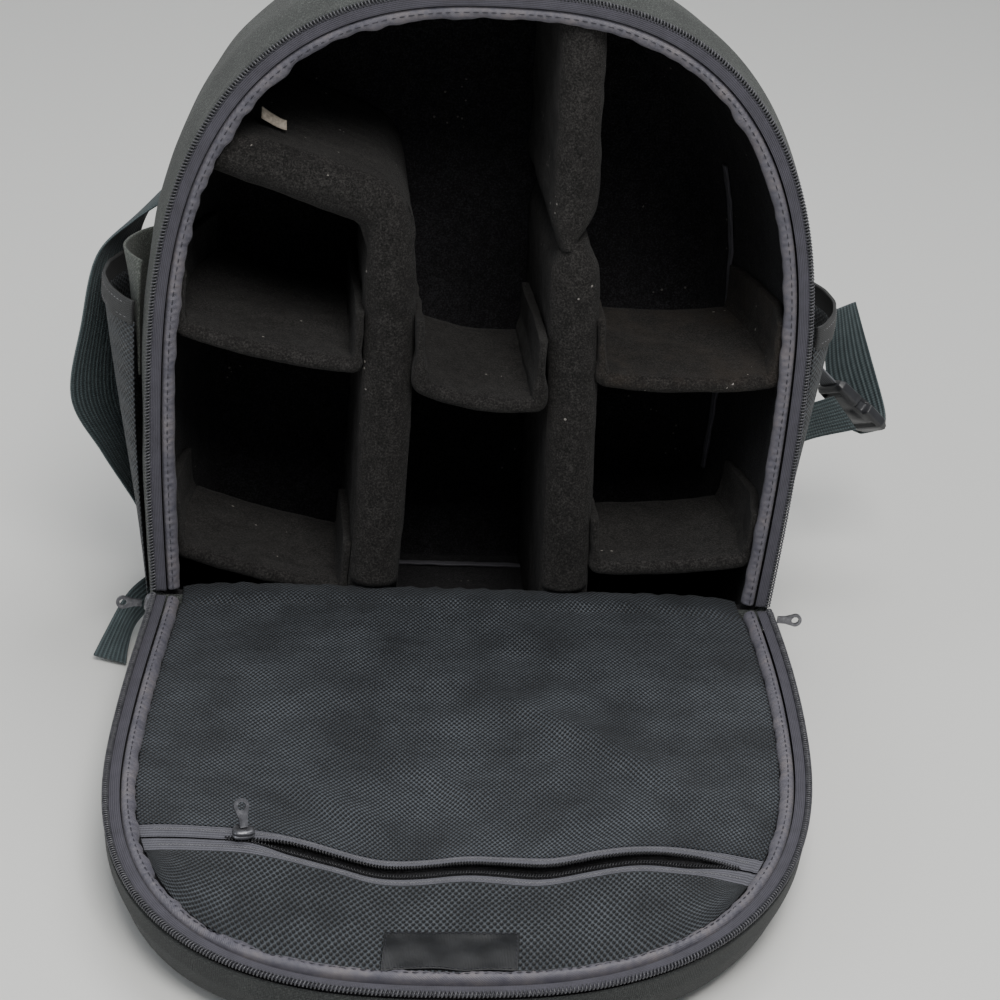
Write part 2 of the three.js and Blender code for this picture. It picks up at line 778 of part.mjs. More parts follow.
const floorSeamBack = roomBack - baseCorner * 0.8;
const floorSeamFace = (up) => (u, v) => new THREE.Vector3(
  mix(shelfStops.leftInner(), shelfStops.rightInner(roomFloor), u),
  floorSeamBack + seamWidth * (v - 0.5),
  roomFloor + clearance + up,
);
sheet("floor_seam_binding", floorSeamFace(1.5), floorSeamFace(0), 3, 1, satin);

// Side pockets of coarse net with a banded mouth; side is -1 on the left
function pocketSurface(side, out, bulge, span) {
  return (u, v) => {
    const y = mix(span.front, span.back, u);
    const z = mix(span.low, span.high, v);
    const arc = Math.sin(Math.PI * mix(0.02, 0.98, u)) ** 0.7;
    const swell = bulge * arc * mix(span.lowSwell, span.highSwell, v);
    return new THREE.Vector3(side * (halfWidth(z, outerSide(y)) + softGap + swell + out), y, z);
  };
}

const netSpan = {
  front: pocketFront,
  back: pocketBack,
  low: pocketBase,
  high: pocketTop,
  lowSwell: 0,
  highSwell: 1,
};
const bandSpan = {
  ...netSpan,
  low: pocketTop + clearance,
  high: pocketTop + pocketBand,
  lowSwell: 1,
  highSwell: 1,
};
for (const [place, side] of [["left", -1], ["right", 1]]) {
  sheet(`side_pocket_${place}_net`, pocketSurface(side, netThickness, pocketBulge, netSpan),
    pocketSurface(side, 0, pocketBulge, netSpan), 8, 4, netting);
  sheet(`side_pocket_${place}_band`, pocketSurface(side, netThickness + 0.8, pocketBulge, bandSpan),
    pocketSurface(side, 0, pocketBulge, bandSpan), 8, 1, tapeCloth);
}

// Cloth gusset standing inside the left pocket's mouth
const gussetSpan = {
  front: pocketFront + 6,
  back: pocketFront + 56,
  low: pocketTop - 30,
  high: pocketTop + 30,
  lowSwell: 0,
  highSwell: 1,
};
sheet("side_pocket_left_gusset", pocketSurface(-1, netThickness, pocketBulge * 0.55, gussetSpan),
  pocketSurface(-1, 0, pocketBulge * 0.55, gussetSpan), 6, 2, heather);

// Webbing as a ruled band between two edges; each row gives both edges as [out, y, height]:
// out from the bag's side at that place, height as a share of archTop
function webbingBand(name, side, rows, count, material) {
  const edge = (column) => rows.map((row) => {
    const [out, y, share] = row[column];
    const z = archTop * share;
    return new THREE.Vector3(side * (halfWidth(z, outerSide(Math.min(y, shellBack))) + out), y, z);
  });
  band(name, edge("front"), edge("rear"), count, webbingThickness, material);
}

function band(name, front, rear, count, thickness, material) {
  const curves = [front, rear].map((edge) => new THREE.CatmullRomCurve3(edge, false, "centripetal"));
  const rings = steps(count).map((u) => {
    const [a, b] = curves.map((curve) => curve.getPoint(u));
    const ahead = curves[0].getTangent(u).add(curves[1].getTangent(u));
    const thick = b.clone().sub(a).cross(ahead).setLength(thickness / 2);
    return [a.clone().add(thick), b.clone().add(thick), b.clone().sub(thick), a.clone().sub(thick)];
  });
  loft(name, rings, "fan", material);
}

const webbingSeat = webbingThickness / 2 + clearance;
webbingBand("belt_webbing_left", -1, [
  { front: [webbingSeat + 0.8, 12, 0.617], rear: [webbingSeat + 0.8, 46, 0.622] },
  { front: [15, 9, 0.588], rear: [10, 47, 0.6] },
  { front: [29, 5, 0.545], rear: [17, 43, 0.55] },
  { front: [36, 2, 0.437], rear: [17, 36, 0.437] },
  { front: [41, 0, 0.325], rear: [17, 33, 0.315] },
  { front: [28, 6, 0.235], rear: [14, 38, 0.225] },
  { front: [14, 14, 0.144], rear: [10, 46, 0.14] },
  { front: [8, 16, 0.1], rear: [6, 49, 0.1] },
  { front: [webbingSeat + 1.2, 18, 0.062], rear: [webbingSeat + 1.2, 52, 0.062] },
], 16, webbing);
webbingBand("webbing_tab_left", -1, [
  { front: [webbingSeat, -12, 0.072], rear: [webbingSeat, -32, 0.04] },
  { front: [13, -32, 0.062], rear: [9, -47, 0.028] },
  { front: [24, -52, 0.026], rear: [13, -60, 0.014] },
  { front: [31, -66, 0.009], rear: [15, -72, 0.006] },
], 6, webbing);

// Right belt end: a dark run of webbing, a grey strap, the fastened buckle and the loose tail
const buckleCentre = new THREE.Vector3(wideHalfWidth + buckleOut, buckleBack, buckleHeight);
const buckleAlong = axisX.clone().applyAxisAngle(axisY, THREE.MathUtils.degToRad(buckleSlope));
const buckleAcross = axisY.clone().applyAxisAngle(buckleAlong, THREE.MathUtils.degToRad(buckleRoll));
const buckleFace = buckleAlong.clone().cross(buckleAcross);

function atBuckle(along, across, up) {
  return buckleCentre.clone()
    .addScaledVector(buckleAlong, along)
    .addScaledVector(buckleAcross, across)
    .addScaledVector(buckleFace, up);
}

// Moulded buckle, in shares of its half-length, half-width and half-thickness
const buckleSections = [
  { along: -1, width: 0.72, thick: 0.6 },
  { along: -0.86, width: 0.84, thick: 0.9 },
  { along: -0.3, width: 0.86, thick: 1 },
  { along: 0.1, width: 1, thick: 1 },
  { along: 0.8, width: 0.96, thick: 0.9 },
  { along: 1, width: 0.8, thick: 0.5 },
];
loft("buckle_right", buckleSections.map(({ along, width, thick }) =>
  [[-0.7, -1], [0.7, -1], [1, -0.4], [1, 0.4], [0.7, 1], [-0.7, 1], [-1, 0.4], [-1, -0.4]].map(([a, b]) =>
    atBuckle((along * buckleLength) / 2, (a * width * buckleWidth) / 2, (b * thick * buckleThickness) / 2))),
"fan", plastic);

function bagSide(out, y, z) {
  return new THREE.Vector3(halfWidth(z, outerSide(y)) + out, y, z);
}

const buckleStart = -buckleLength / 2 - clearance;
const strapHalf = greyStrapWidth / 2;
band("belt_strap_grey_right",
  [
    bagSide(webbingSeat + 1, 47, 160), bagSide(15, 49, 156), bagSide(30, 51, 145),
    atBuckle(buckleStart, -strapHalf, 0),
  ],
  [
    bagSide(webbingSeat + 1, 58, 156), bagSide(20, 60, 151), bagSide(37, 61, 139),
    atBuckle(buckleStart, strapHalf, 0),
  ],
  8, webbingThickness, greyTape);
const underBuckle = -buckleThickness / 2 - webbingSeat;
band("belt_webbing_right",
  [bagSide(webbingSeat, 48, 84), bagSide(21, 48, 92), bagSide(40, 51, 103), atBuckle(-15, -5, underBuckle)],
  [
    bagSide(webbingSeat + 0.4, 56, 58),
    bagSide(28, 56, 67),
    bagSide(54, 60, 80),
    atBuckle(9, -2, underBuckle - 3),
  ],
  8, webbingThickness, webbing);
const pastBuckle = buckleLength / 2 + webbingSeat;
band("belt_webbing_tail_right",
  [atBuckle(pastBuckle, 12, -2), atBuckle(17, 24, 2), atBuckle(-6, 28, 10), atBuckle(-30, 26, 22)],
  [atBuckle(pastBuckle, -8, 1), atBuckle(21, 4, 15), atBuckle(0, 12, 28), atBuckle(-26, 18, 36)],
  8, webbingThickness, webbing);

// Worn side, turned away from the viewer: back pad, two padded shoulder straps and the haul handle
const backPadFront = shellBack + clearance;
const backPadSections = [
  { depth: 0, size: 0.96 },
  { depth: 0.45, size: 1 },
  { depth: 0.85, size: 0.96 },
  { depth: 1, size: 0.86 },
];
loft("back_pad", backPadSections.map(({ depth, size }) => steps(20).slice(1).map((share) => {
  const turn = 2 * Math.PI * share;
  const reach = (value) => Math.sign(value) * Math.abs(value) ** 0.5;
  return new THREE.Vector3(
    backPadHalfWidth * size * reach(Math.cos(turn)),
    backPadFront + backPadThickness * depth,
    mix(backPadLow, backPadHigh, 0.5) + ((backPadHigh - backPadLow) / 2) * size * reach(Math.sin(turn)),
  );
})), "fan", tapeCloth);

// Centreline of a shoulder strap as shares of the back pad's half-width and height
const strapLine = [
  { across: 0.44, height: 0.95, bow: 0 },
  { across: 0.5, height: 0.78, bow: 0.5 },
  { across: 0.62, height: 0.55, bow: 1 },
  { across: 0.76, height: 0.33, bow: 0.7 },
  { across: 0.84, height: 0.16, bow: 0 },
];
const strapSeat = backPadFront + backPadThickness + clearance + harnessThickness / 2;
for (const [place, side] of [["left", -1], ["right", 1]]) {
  const strapEdge = (offset) => strapLine.map(({ across, height, bow }) => new THREE.Vector3(
    side * (backPadHalfWidth * across + offset),
    strapSeat + harnessBow * bow,
    mix(backPadLow, backPadHigh, height),
  ));
  band(`shoulder_strap_${place}`, strapEdge(-harnessWidth / 2), strapEdge(harnessWidth / 2), 8,
    harnessThickness, heather);
  const last = strapLine[strapLine.length - 1];
  const strapEnd = mix(backPadLow, backPadHigh, last.height) - clearance - 0.5;
  const tailEdge = (offset) => [
    [last.across * backPadHalfWidth, strapSeat, strapEnd],
    [last.across * backPadHalfWidth + 14, strapSeat - 4, mix(strapEnd, backPadLow, 0.5)],
    [backPadHalfWidth + 16, shellBack + webbingSeat, backPadLow - 10],
  ].map(([x, y, z]) => new THREE.Vector3(side * (x + offset), y, z));
  band(`strap_webbing_${place}`, tailEdge(-webbingWidth / 2), tailEdge(webbingWidth / 2), 5,
    webbingThickness, webbing);
}

const handleFoot = backPadHigh + 4;
const handleEdge = (inset) => steps(4).map((share) => {
  const turn = Math.PI * share;
  return new THREE.Vector3(
    -(handleReach - inset) * Math.cos(turn),
    shellBack + webbingSeat + handleBow * Math.sin(turn),
    handleFoot + (handleRise - inset) * Math.sin(turn),
  );
});
band("haul_handle", handleEdge(0), handleEdge(handleWidth), 10, webbingThickness, webbing);

export default group;
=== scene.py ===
import bmesh
import bpy
import numpy as np
from mathutils import Matrix, Vector


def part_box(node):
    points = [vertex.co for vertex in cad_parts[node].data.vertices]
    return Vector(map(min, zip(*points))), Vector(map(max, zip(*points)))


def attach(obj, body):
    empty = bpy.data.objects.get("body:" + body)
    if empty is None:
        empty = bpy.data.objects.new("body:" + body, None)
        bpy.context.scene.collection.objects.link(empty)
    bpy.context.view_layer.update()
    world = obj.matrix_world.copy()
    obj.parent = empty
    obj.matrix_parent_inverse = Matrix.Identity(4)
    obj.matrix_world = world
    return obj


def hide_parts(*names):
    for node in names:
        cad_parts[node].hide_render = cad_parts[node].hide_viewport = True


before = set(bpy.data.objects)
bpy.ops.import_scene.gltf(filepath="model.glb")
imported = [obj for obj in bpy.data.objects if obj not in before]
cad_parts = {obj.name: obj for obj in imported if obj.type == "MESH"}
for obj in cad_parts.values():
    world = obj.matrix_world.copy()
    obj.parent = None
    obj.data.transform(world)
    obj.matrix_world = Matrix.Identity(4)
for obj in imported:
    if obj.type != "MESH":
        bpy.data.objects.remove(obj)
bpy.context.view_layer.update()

# Studio: a pale floor that runs up into a pale wall, a broad soft light above and in front of the
# bag, weaker ones from its left and from above and behind, and the camera at the photograph's angle.
eye = Vector((-0.12365, -1.25228, 0.64609))
pitch, yaw, roll = np.radians([24.702, 6.674, -4.603])
ahead = Vector((np.sin(yaw) * np.cos(pitch), np.cos(yaw) * np.cos(pitch), -np.sin(pitch)))
level = Vector((np.cos(yaw), -np.sin(yaw), 0))
downward = ahead.cross(level)
rightward = level * np.cos(roll) + downward * np.sin(roll)
below = downward * np.cos(roll) - level * np.sin(roll)
camera = bpy.data.objects.new("camera", bpy.data.cameras.new("camera"))
bpy.context.scene.collection.objects.link(camera)
camera.data.lens, camera.data.sensor_width = 94.73, 36
facing = Matrix((rightward, -below, -ahead)).transposed()
camera.matrix_world = Matrix.Translation(eye) @ facing.to_4x4()
bpy.context.scene.camera = camera


def paint(name, color, roughness, **sockets):
    """A finish: one principled shader whose constant sockets are given by name."""
    made = bpy.data.materials.new(name)
    made.use_nodes = True
    shader = made.node_tree.nodes["Principled BSDF"]
    shader.inputs["Base Color"].default_value = (*color, 1)
    shader.inputs["Roughness"].default_value = roughness
    for socket, value in sockets.items():
        shader.inputs[socket.replace("_", " ")].default_value = value
    return made


def node(finish, kind, inputs=(), **settings):
    """Adds one node to a finish; inputs are (socket, number or another node's output) pairs."""
    made = finish.node_tree.nodes.new("ShaderNode" + kind)
    for key, value in settings.items():
        setattr(made, key, value)
    for socket, value in inputs:
        if isinstance(value, bpy.types.NodeSocket):
            finish.node_tree.links.new(value, made.inputs[socket])
        else:
            made.inputs[socket].default_value = value
    return made


def place(finish, scale=(1, 1, 1), source="Object", turn=0.0):
    """Pattern coordinates in metres, from the piece itself or its UV map, scaled along each axis."""
    coordinates = node(finish, "TexCoord").outputs[source]
    inputs = [("Vector", coordinates), ("Scale", scale), ("Rotation", (0, 0, turn))]
    return node(finish, "Mapping", inputs).outputs[0]


def noise(finish, where, scale, detail=2.0, rough=0.5):
    """Cloudy value from 0 to 1 with scale clouds to a unit of the pattern coordinates."""
    inputs = [("Vector", where), ("Scale", scale), ("Detail", detail), ("Roughness", rough)]
    return node(finish, "TexNoise", inputs).outputs["Fac"]


def stripes(finish, where, direction):
    """Sine bands one unit apart along an axis of the pattern coordinates: the wave node itself draws
    3.1831 of them to a unit."""
    return node(finish, "TexWave", [("Vector", where), ("Scale", 1 / 3.1831)],
                bands_direction=direction, wave_profile="SIN").outputs["Fac"]


def ramp(finish, value, stops):
    """Colour ramp through (place, colour) stops."""
    made = node(finish, "ValToRGB", [("Fac", value)])
    elements = made.color_ramp.elements
    while len(elements) < len(stops):
        elements.new(0.5)
    for element, (at, color) in zip(elements, stops):
        element.position = at
        element.color = (*color, 1)
    return made.outputs["Color"]


def math(finish, operation, a, b=0.0, c=0.0):
    """One operation on up to three values."""
    return node(finish, "Math", [(0, a), (1, b), (2, c)], operation=operation).outputs[0]


def weighted(finish, *terms):
    """Sum of value times weight over (value, weight) terms."""
    total = 0.0
    for value, weight in terms:
        total = math(finish, "MULTIPLY_ADD", value, weight, total)
    return total


def times(color, share):
    """The same colour, darker below a share of one and lighter above it."""
    return tuple(value * share for value in color)


def blended(finish, share, a, b, kind="MIX"):
    """Two colours mixed by a share, each a colour or another node's output."""
    made = node(finish, "Mix", [("Factor", share)], data_type="RGBA", blend_type=kind)
    for socket, value in ((6, a), (7, b)):
        if isinstance(value, bpy.types.NodeSocket):
            finish.node_tree.links.new(value, made.inputs[socket])
        else:
            made.inputs[socket].default_value = (*value, 1)
    return made.outputs[2]


def wear(finish, color=None, height=None, depth=0.0004, strength=0.6):
    """Joins a finish's colour and relief to its shader."""
    shader = finish.node_tree.nodes["Principled BSDF"]
    if color is not None:
        finish.node_tree.links.new(color, shader.inputs["Base Color"])
    if height is not None:
        bump = node(finish, "Bump", [("Height", height), ("Distance", depth), ("Strength", strength)])
        finish.node_tree.links.new(bump.outputs[0], shader.inputs["Normal"])
    return finish


def mottled(name, color, roughness, scale, dark, light, detail=3, **sockets):
    """A finish whose colour is clouded from a dark to a light tone."""
    finish = paint(name, color, roughness, **sockets)
    cloud = noise(finish, place(finish), scale, detail)
    return wear(finish, ramp(finish, cloud, [(0.3, dark), (0.7, light)]))


floor_finish = paint("pale_floor", (0.72, 0.72, 0.70), 0.55)
floor_mesh = bpy.data.meshes.new("studio_floor")
sweep = np.linspace(0, np.pi / 2, 12)
floor_half, cove_start, cove, wall_top, floor_drop = 4.0, 2.2, 0.8, 4.0, 0.0006
round_cove = np.stack([cove_start + cove * np.sin(sweep), cove - cove * np.cos(sweep)], 1)
line = np.concatenate([[[-floor_half, 0.0]], round_cove, [[cove_start + cove, wall_top]]])
corners = np.array([[x, y, z - floor_drop] for y, z in line for x in (-floor_half, floor_half)])
cells = [(2 * k, 2 * k + 1, 2 * k + 3, 2 * k + 2) for k in range(len(line) - 1)]
floor_mesh.from_pydata(corners, [], cells)
floor_mesh.materials.append(floor_finish)
floor_mesh.shade_smooth()
studio_floor = bpy.data.objects.new("studio_floor", floor_mesh)
bpy.context.scene.collection.objects.link(studio_floor)

world = bpy.context.scene.world or bpy.data.worlds.new("studio")
bpy.context.scene.world = world
world.use_nodes = True
sky = world.node_tree.nodes["Background"].inputs
sky["Color"].default_value = (0.93, 0.96, 1.0, 1)
sky["Strength"].default_value = 0.42
bag_middle = Vector((0, -0.1, 0.15))
for lamp_name, where, size, power, tint in (
    ("key_light", (0.1, -1.45, 1.95), 1.0, 44, (1.0, 0.98, 0.95)),
    ("side_light", (-2.0, -1.0, 1.2), 1.2, 9, (0.9, 0.95, 1.0)),
    ("top_light", (0.5, 0.4, 2.4), 1.4, 24, (1.0, 1.0, 1.0)),
):
    lamp = bpy.data.objects.new(lamp_name, bpy.data.lights.new(lamp_name, "AREA"))
    bpy.context.scene.collection.objects.link(lamp)
    lamp.data.size, lamp.data.energy, lamp.data.color = size, power, tint
    lamp.location = where
    lamp.rotation_euler = (bag_middle - Vector(where)).to_track_quat("-Z", "Y").to_euler()

# Outside of the bag: one cup of grey-green heather polyester over thin foam, cut as an arch that is
# drawn in towards the worn side. Its mouth is turned under the zip. Sizes here are millimetres.
wide_half, wide_height = 160.0, 155.0
hinge_half, hinge_height = 155.0, 45.0
arch_top, arch_power = 355.0, 2.57
shell_front, shell_back, back_inset = -74.0, 68.0, 24.0
gap, cloth_reach = 0.35, 1.0
kerb = 41.0
body_depths = np.array([0, 0.2, 0.5, 0.7, 0.86, 0.95, 1.0])
body_draws = np.array([0, -0.13, 0, 0.17, 0.42, 0.7, 1.0])


def smoothed(values, reach):
    """Running mean over reach samples on both sides, along the first axis, with the ends held."""
    held = np.concatenate([np.repeat(values[:1], reach, 0), values, np.repeat(values[-1:], reach, 0)])
    total = np.cumsum(np.concatenate([np.zeros_like(held[:1]), held]), 0)
    out = (total[2 * reach + 1:] - total[:-2 * reach - 1]) / (2 * reach + 1)
    out[0], out[-1] = values[0], values[-1]
    return out


depth_steps = np.linspace(0, 1, 101)
draw_steps = smoothed(np.interp(depth_steps, body_depths, body_draws), 3)


def half_width(height, inset):
    """Half-width of the opening: a quarter sine from the hinge up to the widest place, and above it
    the superellipse |x/a|^p + |z/b|^p = 1."""
    wide = wide_half - inset
    turn = (np.pi / 2) * (height - hinge_height) / (wide_height - hinge_height)
    flare = hinge_half - inset + (wide_half - hinge_half) * np.sin(np.minimum(turn, np.pi / 2))
    rise = np.clip((height - wide_height) / (arch_top - inset - wide_height), 0, 1)
    return np.where(height <= wide_height, flare, wide * (1 - rise ** arch_power) ** (1 / arch_power))


def arch_height(x, inset):
    """Height of the same superellipse over a place across the bag."""
    share = np.clip(np.abs(x) / (wide_half - inset), 0, 1)
    return wide_height + (arch_top - inset - wide_height) * (1 - share ** arch_power) ** (1 / arch_power)


def evenly(line, count):
    """The same line through count points that are equally far apart along it."""
    walked = np.concatenate([[0], np.cumsum(np.linalg.norm(np.diff(line, axis=0), axis=1))])
    at = np.linspace(0, walked[-1], count)
    return np.stack([np.interp(at, walked, column) for column in line.T], 1)


def arch_line(inset, low, corner, count):
    """The opening's outline from its right foot over the arch to its left foot: a quarter round at
    the foot, then half_width() up the side and the superellipse over the top, and its mirror image."""
    foot = low + corner
    turn = np.linspace(0, np.pi / 2, 10)[:-1]
    quarter_x = half_width(foot, inset) - corner * (1 - np.sin(turn))
    quarter = np.stack([quarter_x, foot - corner * np.cos(turn)], 1)
    heights = np.linspace(foot, wide_height, 30)[:-1]
    side = np.stack([half_width(heights, inset), heights], 1)
    turn = np.linspace(0, np.pi / 2, 200)
    crown = np.stack([
        np.maximum(np.cos(turn), 0) ** (2 / arch_power) * (wide_half - inset),
        wide_height + (arch_top - inset - wide_height) * np.sin(turn) ** (2 / arch_power),
    ], 1)
    right = np.concatenate([quarter if corner > 0 else quarter[:0], side, crown])
    return evenly(np.concatenate([right, right[-2::-1] * [-1, 1]]), count)


def ring(inset, low, corner, y, around=260, floor=60):
    """Closed ring of the same outline with a straight base, at one depth."""
    arch = arch_line(inset, low, corner, around)
    base = np.linspace(arch[-1], arch[0], floor + 2)[1:-1]
    flat = np.concatenate([arch, base])
    return np.stack([flat[:, 0], np.full(len(flat), y), flat[:, 1]], 1)


def ripple(a, b, seed, reach, count=7):
    """Soft unevenness from -1 to 1: the mean of count plane waves over (a, b) with seeded directions
    and phases, whose lengths lie round reach."""
    random = np.random.default_rng(seed)
    total = np.zeros(np.broadcast(a, b).shape)
    for turn, phase, size in zip(random.uniform(0, np.pi, count), random.uniform(0, 6.28, count),
                                 random.uniform(0.6, 1.8, count)):
        total = total + np.sin((a * np.cos(turn) + b * np.sin(turn)) * 6.283 / (reach * size) + phase)
    return total / count ** 0.5 / 1.4


def surface(name, grid, finish, node_name, inside=False):
    """Mesh over a grid of points, rows by columns, with one face per cell; the last column joins the
    first. Faces point away from the middle, or towards it where inside is set. Rows that shrink to
    one point are welded shut. The UV map holds the metres walked across and along. A grid with a
    fourth, leading axis is a set of like grids in one mesh."""
    points = grid.reshape(-1, 3) * 0.001
    rows, columns = grid.shape[-3:-1]
    one = grid if grid.ndim == 3 else grid[0]
    across = np.linalg.norm(np.diff(one, axis=1, append=one[:, :1]), axis=2).mean(0)
    along = np.linalg.norm(np.diff(one, axis=0, append=one[-1:]), axis=2).mean(1)
    u = np.concatenate([[0], np.cumsum(across)]) * 0.001
    v = np.concatenate([[0], np.cumsum(along)]) * 0.001
    r = np.arange(rows - 1)[:, None]
    c = np.arange(columns)[None, :]
    corners = [(r, c), (r + 1, c), (r + 1, c + 1), (r, c + 1)]
    faces = np.stack([a * columns + b % columns for a, b in corners], -1).reshape(-1, 4)
    uv = np.stack([np.stack(np.broadcast_arrays(u[b], v[a]), -1) for a, b in corners], 2).reshape(-1, 4, 2)
    flat = one.reshape(-1, 3)
    p = flat[faces] - flat.mean(0)
    volume = (p[:, 0] * (np.cross(p[:, 1], p[:, 2]) + np.cross(p[:, 2], p[:, 3]))).sum()
    if (volume < 0) != inside:
        faces, uv = faces[:, ::-1], uv[:, ::-1]
    if grid.ndim == 4:
        faces = (faces[None] + (np.arange(len(grid)) * rows * columns)[:, None, None]).reshape(-1, 4)
        uv = np.tile(uv, (len(grid), 1, 1))
    mesh = bpy.data.meshes.new(name)
    mesh.from_pydata(points, [], faces.tolist())
    layer = mesh.uv_layers.new(name="walked")
    layer.data.foreach_set("uv", uv.astype(np.float32).ravel())
    work = bmesh.new()
    work.from_mesh(mesh)
    bmesh.ops.remove_doubles(work, verts=work.verts, dist=2e-6)
    work.to_mesh(mesh)
    work.free()
    mesh.shade_smooth()
    mesh.materials.append(finish)
    piece = bpy.data.objects.new(name, mesh)
    bpy.context.scene.collection.objects.link(piece)
    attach(piece, "bag")
    if node_name:
        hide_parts(node_name)
    return piece


def thicken(piece, thickness):
    """Gives a piece a wall of a thickness in millimetres, behind its faces."""
    wall = piece.modifiers.new("wall", "SOLIDIFY")
    wall.thickness, wall.offset = thickness * 0.001, -1
    return piece


def shrunk(last, shares):
    """Further rows that draw a closed row of points in to its middle, to close an end."""
    middle = last.mean(0)
    return [middle + (last - middle) * share for share in shares]


def heather_cloth(name, dark, light):
    """Polyester weave of two greys: threads across and along at 0.9 mm, broken by long and short
    flecks of the lighter yarn, with a faint nap."""
    cloth = paint(name, dark, 0.85, Sheen_Weight=0.06, Sheen_Roughness=0.5)
    where = place(cloth, source="UV")
    threads = place(cloth, (1100, 1100, 1100), "UV")
    twill = place(cloth, (780, 780, 780), "UV", turn=0.8)
    warp, weft = (stripes(cloth, threads, direction) for direction in "XY")
    flecks = noise(cloth, place(cloth, (520, 1900, 1), "UV"), 1.0, 3, 0.7)
    streaks = noise(cloth, place(cloth, (1900, 560, 1), "UV"), 1.0, 3, 0.7)
    mottle = noise(cloth, where, 60, 3)
    mixed = weighted(cloth, (flecks, 0.5), (streaks, 0.5))
    toned = ramp(cloth, weighted(cloth, (mixed, 1), (mottle, 0.12)),
                 [(0.42, times(dark, 0.5)), (0.55, dark), (0.68, light)])
    shade = ramp(cloth, stripes(cloth, twill, "X"), [(0.0, (0.72, 0.72, 0.72)), (1.0, (1.1, 1.1, 1.1))])
    height = weighted(cloth, (warp, 1), (weft, 1), (mixed, 2.0))
    return wear(cloth, blended(cloth, 1.0, toned, shade, "MULTIPLY"), height, 0.00025, 0.5)


heather = heather_cloth("heather_cloth", (0.026, 0.030, 0.028), (0.105, 0.115, 0.107))


def body_rings(front, back, inset, low, count):
    """Rings of the cup from its mouth to its back, with the draw of the pattern at each depth."""
    shares = np.linspace(0, 1, count) ** 0.9
    draws = np.interp(shares, depth_steps, draw_steps) * back_inset
    return [ring(inset + draw, low, max(18.0 - low, 6.0), front + (back - front) * share)
            for share, draw in zip(shares, draws)]


def swelled(grid, rows, centre, amount, axes=(1, 1, 1)):
    """The grid with some of its rows moved away from a centre, along the given axes only, by an
    amount at each point."""
    away = (grid - centre) * axes
    away /= np.maximum(np.linalg.norm(away, axis=2, keepdims=True), 1)
    moved = grid.copy()
    moved[rows] += (away * amount[..., None])[rows]
    return moved


outside = [ring(2.2, kerb + 1, 3.0, shell_front + 2.0), ring(1.2, kerb + 0.4, 3.0, shell_front + 0.1)]
outside += [ring(0.2, kerb - 3, 5.0, shell_front - 0.15), ring(-0.7, 12, 14.0, shell_front)]
outside += body_rings(shell_front + 0.6, shell_back - 0.2, -cloth_reach, 0.0, 60)
outside += shrunk(outside[-1], (0.96, 0.85, 0.6, 0.3, 0.0))
outside = np.array(outside)
creases = 0.45 * ripple(outside[..., 0] + outside[..., 2], outside[..., 1] * 1.3, 11, 55.0)
outside = swelled(outside, slice(6, -6), (0, 0, 160), creases, (1, 0, 1))
outside[..., 2] = np.maximum(outside[..., 2], 0)
bag_outside = thicken(surface("bag_outside", outside, heather, "outer_shell"), 1.2)

# Lining: black brushed felt over foam, which turns round the mouth and over the kerb at the foot of
# the opening, then lines the side walls, the floor and the back of the gear room.
lining_front, room_front, room_back = -70.65, -63.65, 50.65
room_inset, room_floor = 10.35, 8.95


def brushed_felt(name, base, lint, dust=0.0):
    """Brushed felt: a short fuzzy nap, lighter pilled patches, sparse pale lint specks and, where
    dust is more than nothing, a brownish bloom."""
    felt = paint(name, base, 0.95, Sheen_Weight=0.035, Sheen_Roughness=0.6, Specular_IOR_Level=0.15)
    where = place(felt)
    fuzz = noise(felt, where, 1100, 5, 0.8)
    pills = noise(felt, where, 160, 4, 0.65)
    patches = noise(felt, where, 22, 3, 0.6)
    tone = weighted(felt, (fuzz, 0.78), (pills, 0.14), (patches, 0.08))
    color = ramp(felt, tone, [(0.40, times(base, 0.3)), (0.5, base), (0.60, times(base, 2.8))])
    if dust:
        bloom = ramp(felt, noise(felt, where, 30, 4, 0.7), [(0.45, (0, 0, 0)), (0.75, (dust,) * 3)])
        color = blended(felt, bloom, color, (0.045, 0.034, 0.026))
    specks = node(felt, "TexVoronoi", [("Vector", where), ("Scale", 240)]).outputs
    keep = math(felt, "GREATER_THAN", noise(felt, where, 45, 2), 0.66)
    near = math(felt, "LESS_THAN", specks["Distance"], 0.16)
    lint_here = math(felt, "MULTIPLY", math(felt, "MULTIPLY", near, keep), lint)
    color = blended(felt, lint_here, color, (0.32, 0.30, 0.28))
    return wear(felt, color, weighted(felt, (fuzz, 1), (pills, 1.4)), 0.0006, 0.7)


lining_felt = brushed_felt("lining_felt", (0.0095, 0.0092, 0.0104), 0.25)
board_felt = brushed_felt("board_felt", (0.0150, 0.0142, 0.0136), 0.6)
dusty_felt = brushed_felt("dusty_felt", (0.0150, 0.0138, 0.0128), 0.7, dust=0.5)

inner = [ring(2.6, 38.5, 3.0, lining_front), ring(6.0, 39.8, 3.0, lining_front - 0.2),
         ring(8.8, kerb + 0.1, 3.0, lining_front + 0.3), ring(9.6, kerb + 0.1, 3.0, lining_front + 1.6),
         ring(9.6, kerb, 3.0, room_front - 1), ring(9.9, kerb - 1.5, 4.0, room_front),
         ring(10.2, 25, 6.0, room_front + 0.2)]
inner += body_rings(room_front + 0.4, room_back, room_inset, room_floor, 56)
inner += shrunk(inner[-1], (0.97, 0.9, 0.75, 0.55, 0.3, 0.0))
inner = np.array(inner)
dents = ripple(inner[..., 0] + 0.6 * inner[..., 2], inner[..., 1] + 0.5 * inner[..., 2], 5, 70.0)
inner = swelled(inner, slice(9, -2), (0, 20, 160), 0.5 * (dents - 0.2))
room_lining = surface("room_lining", inner, lining_felt, "padded_lining", inside=True)
thicken(room_lining, 2.6)

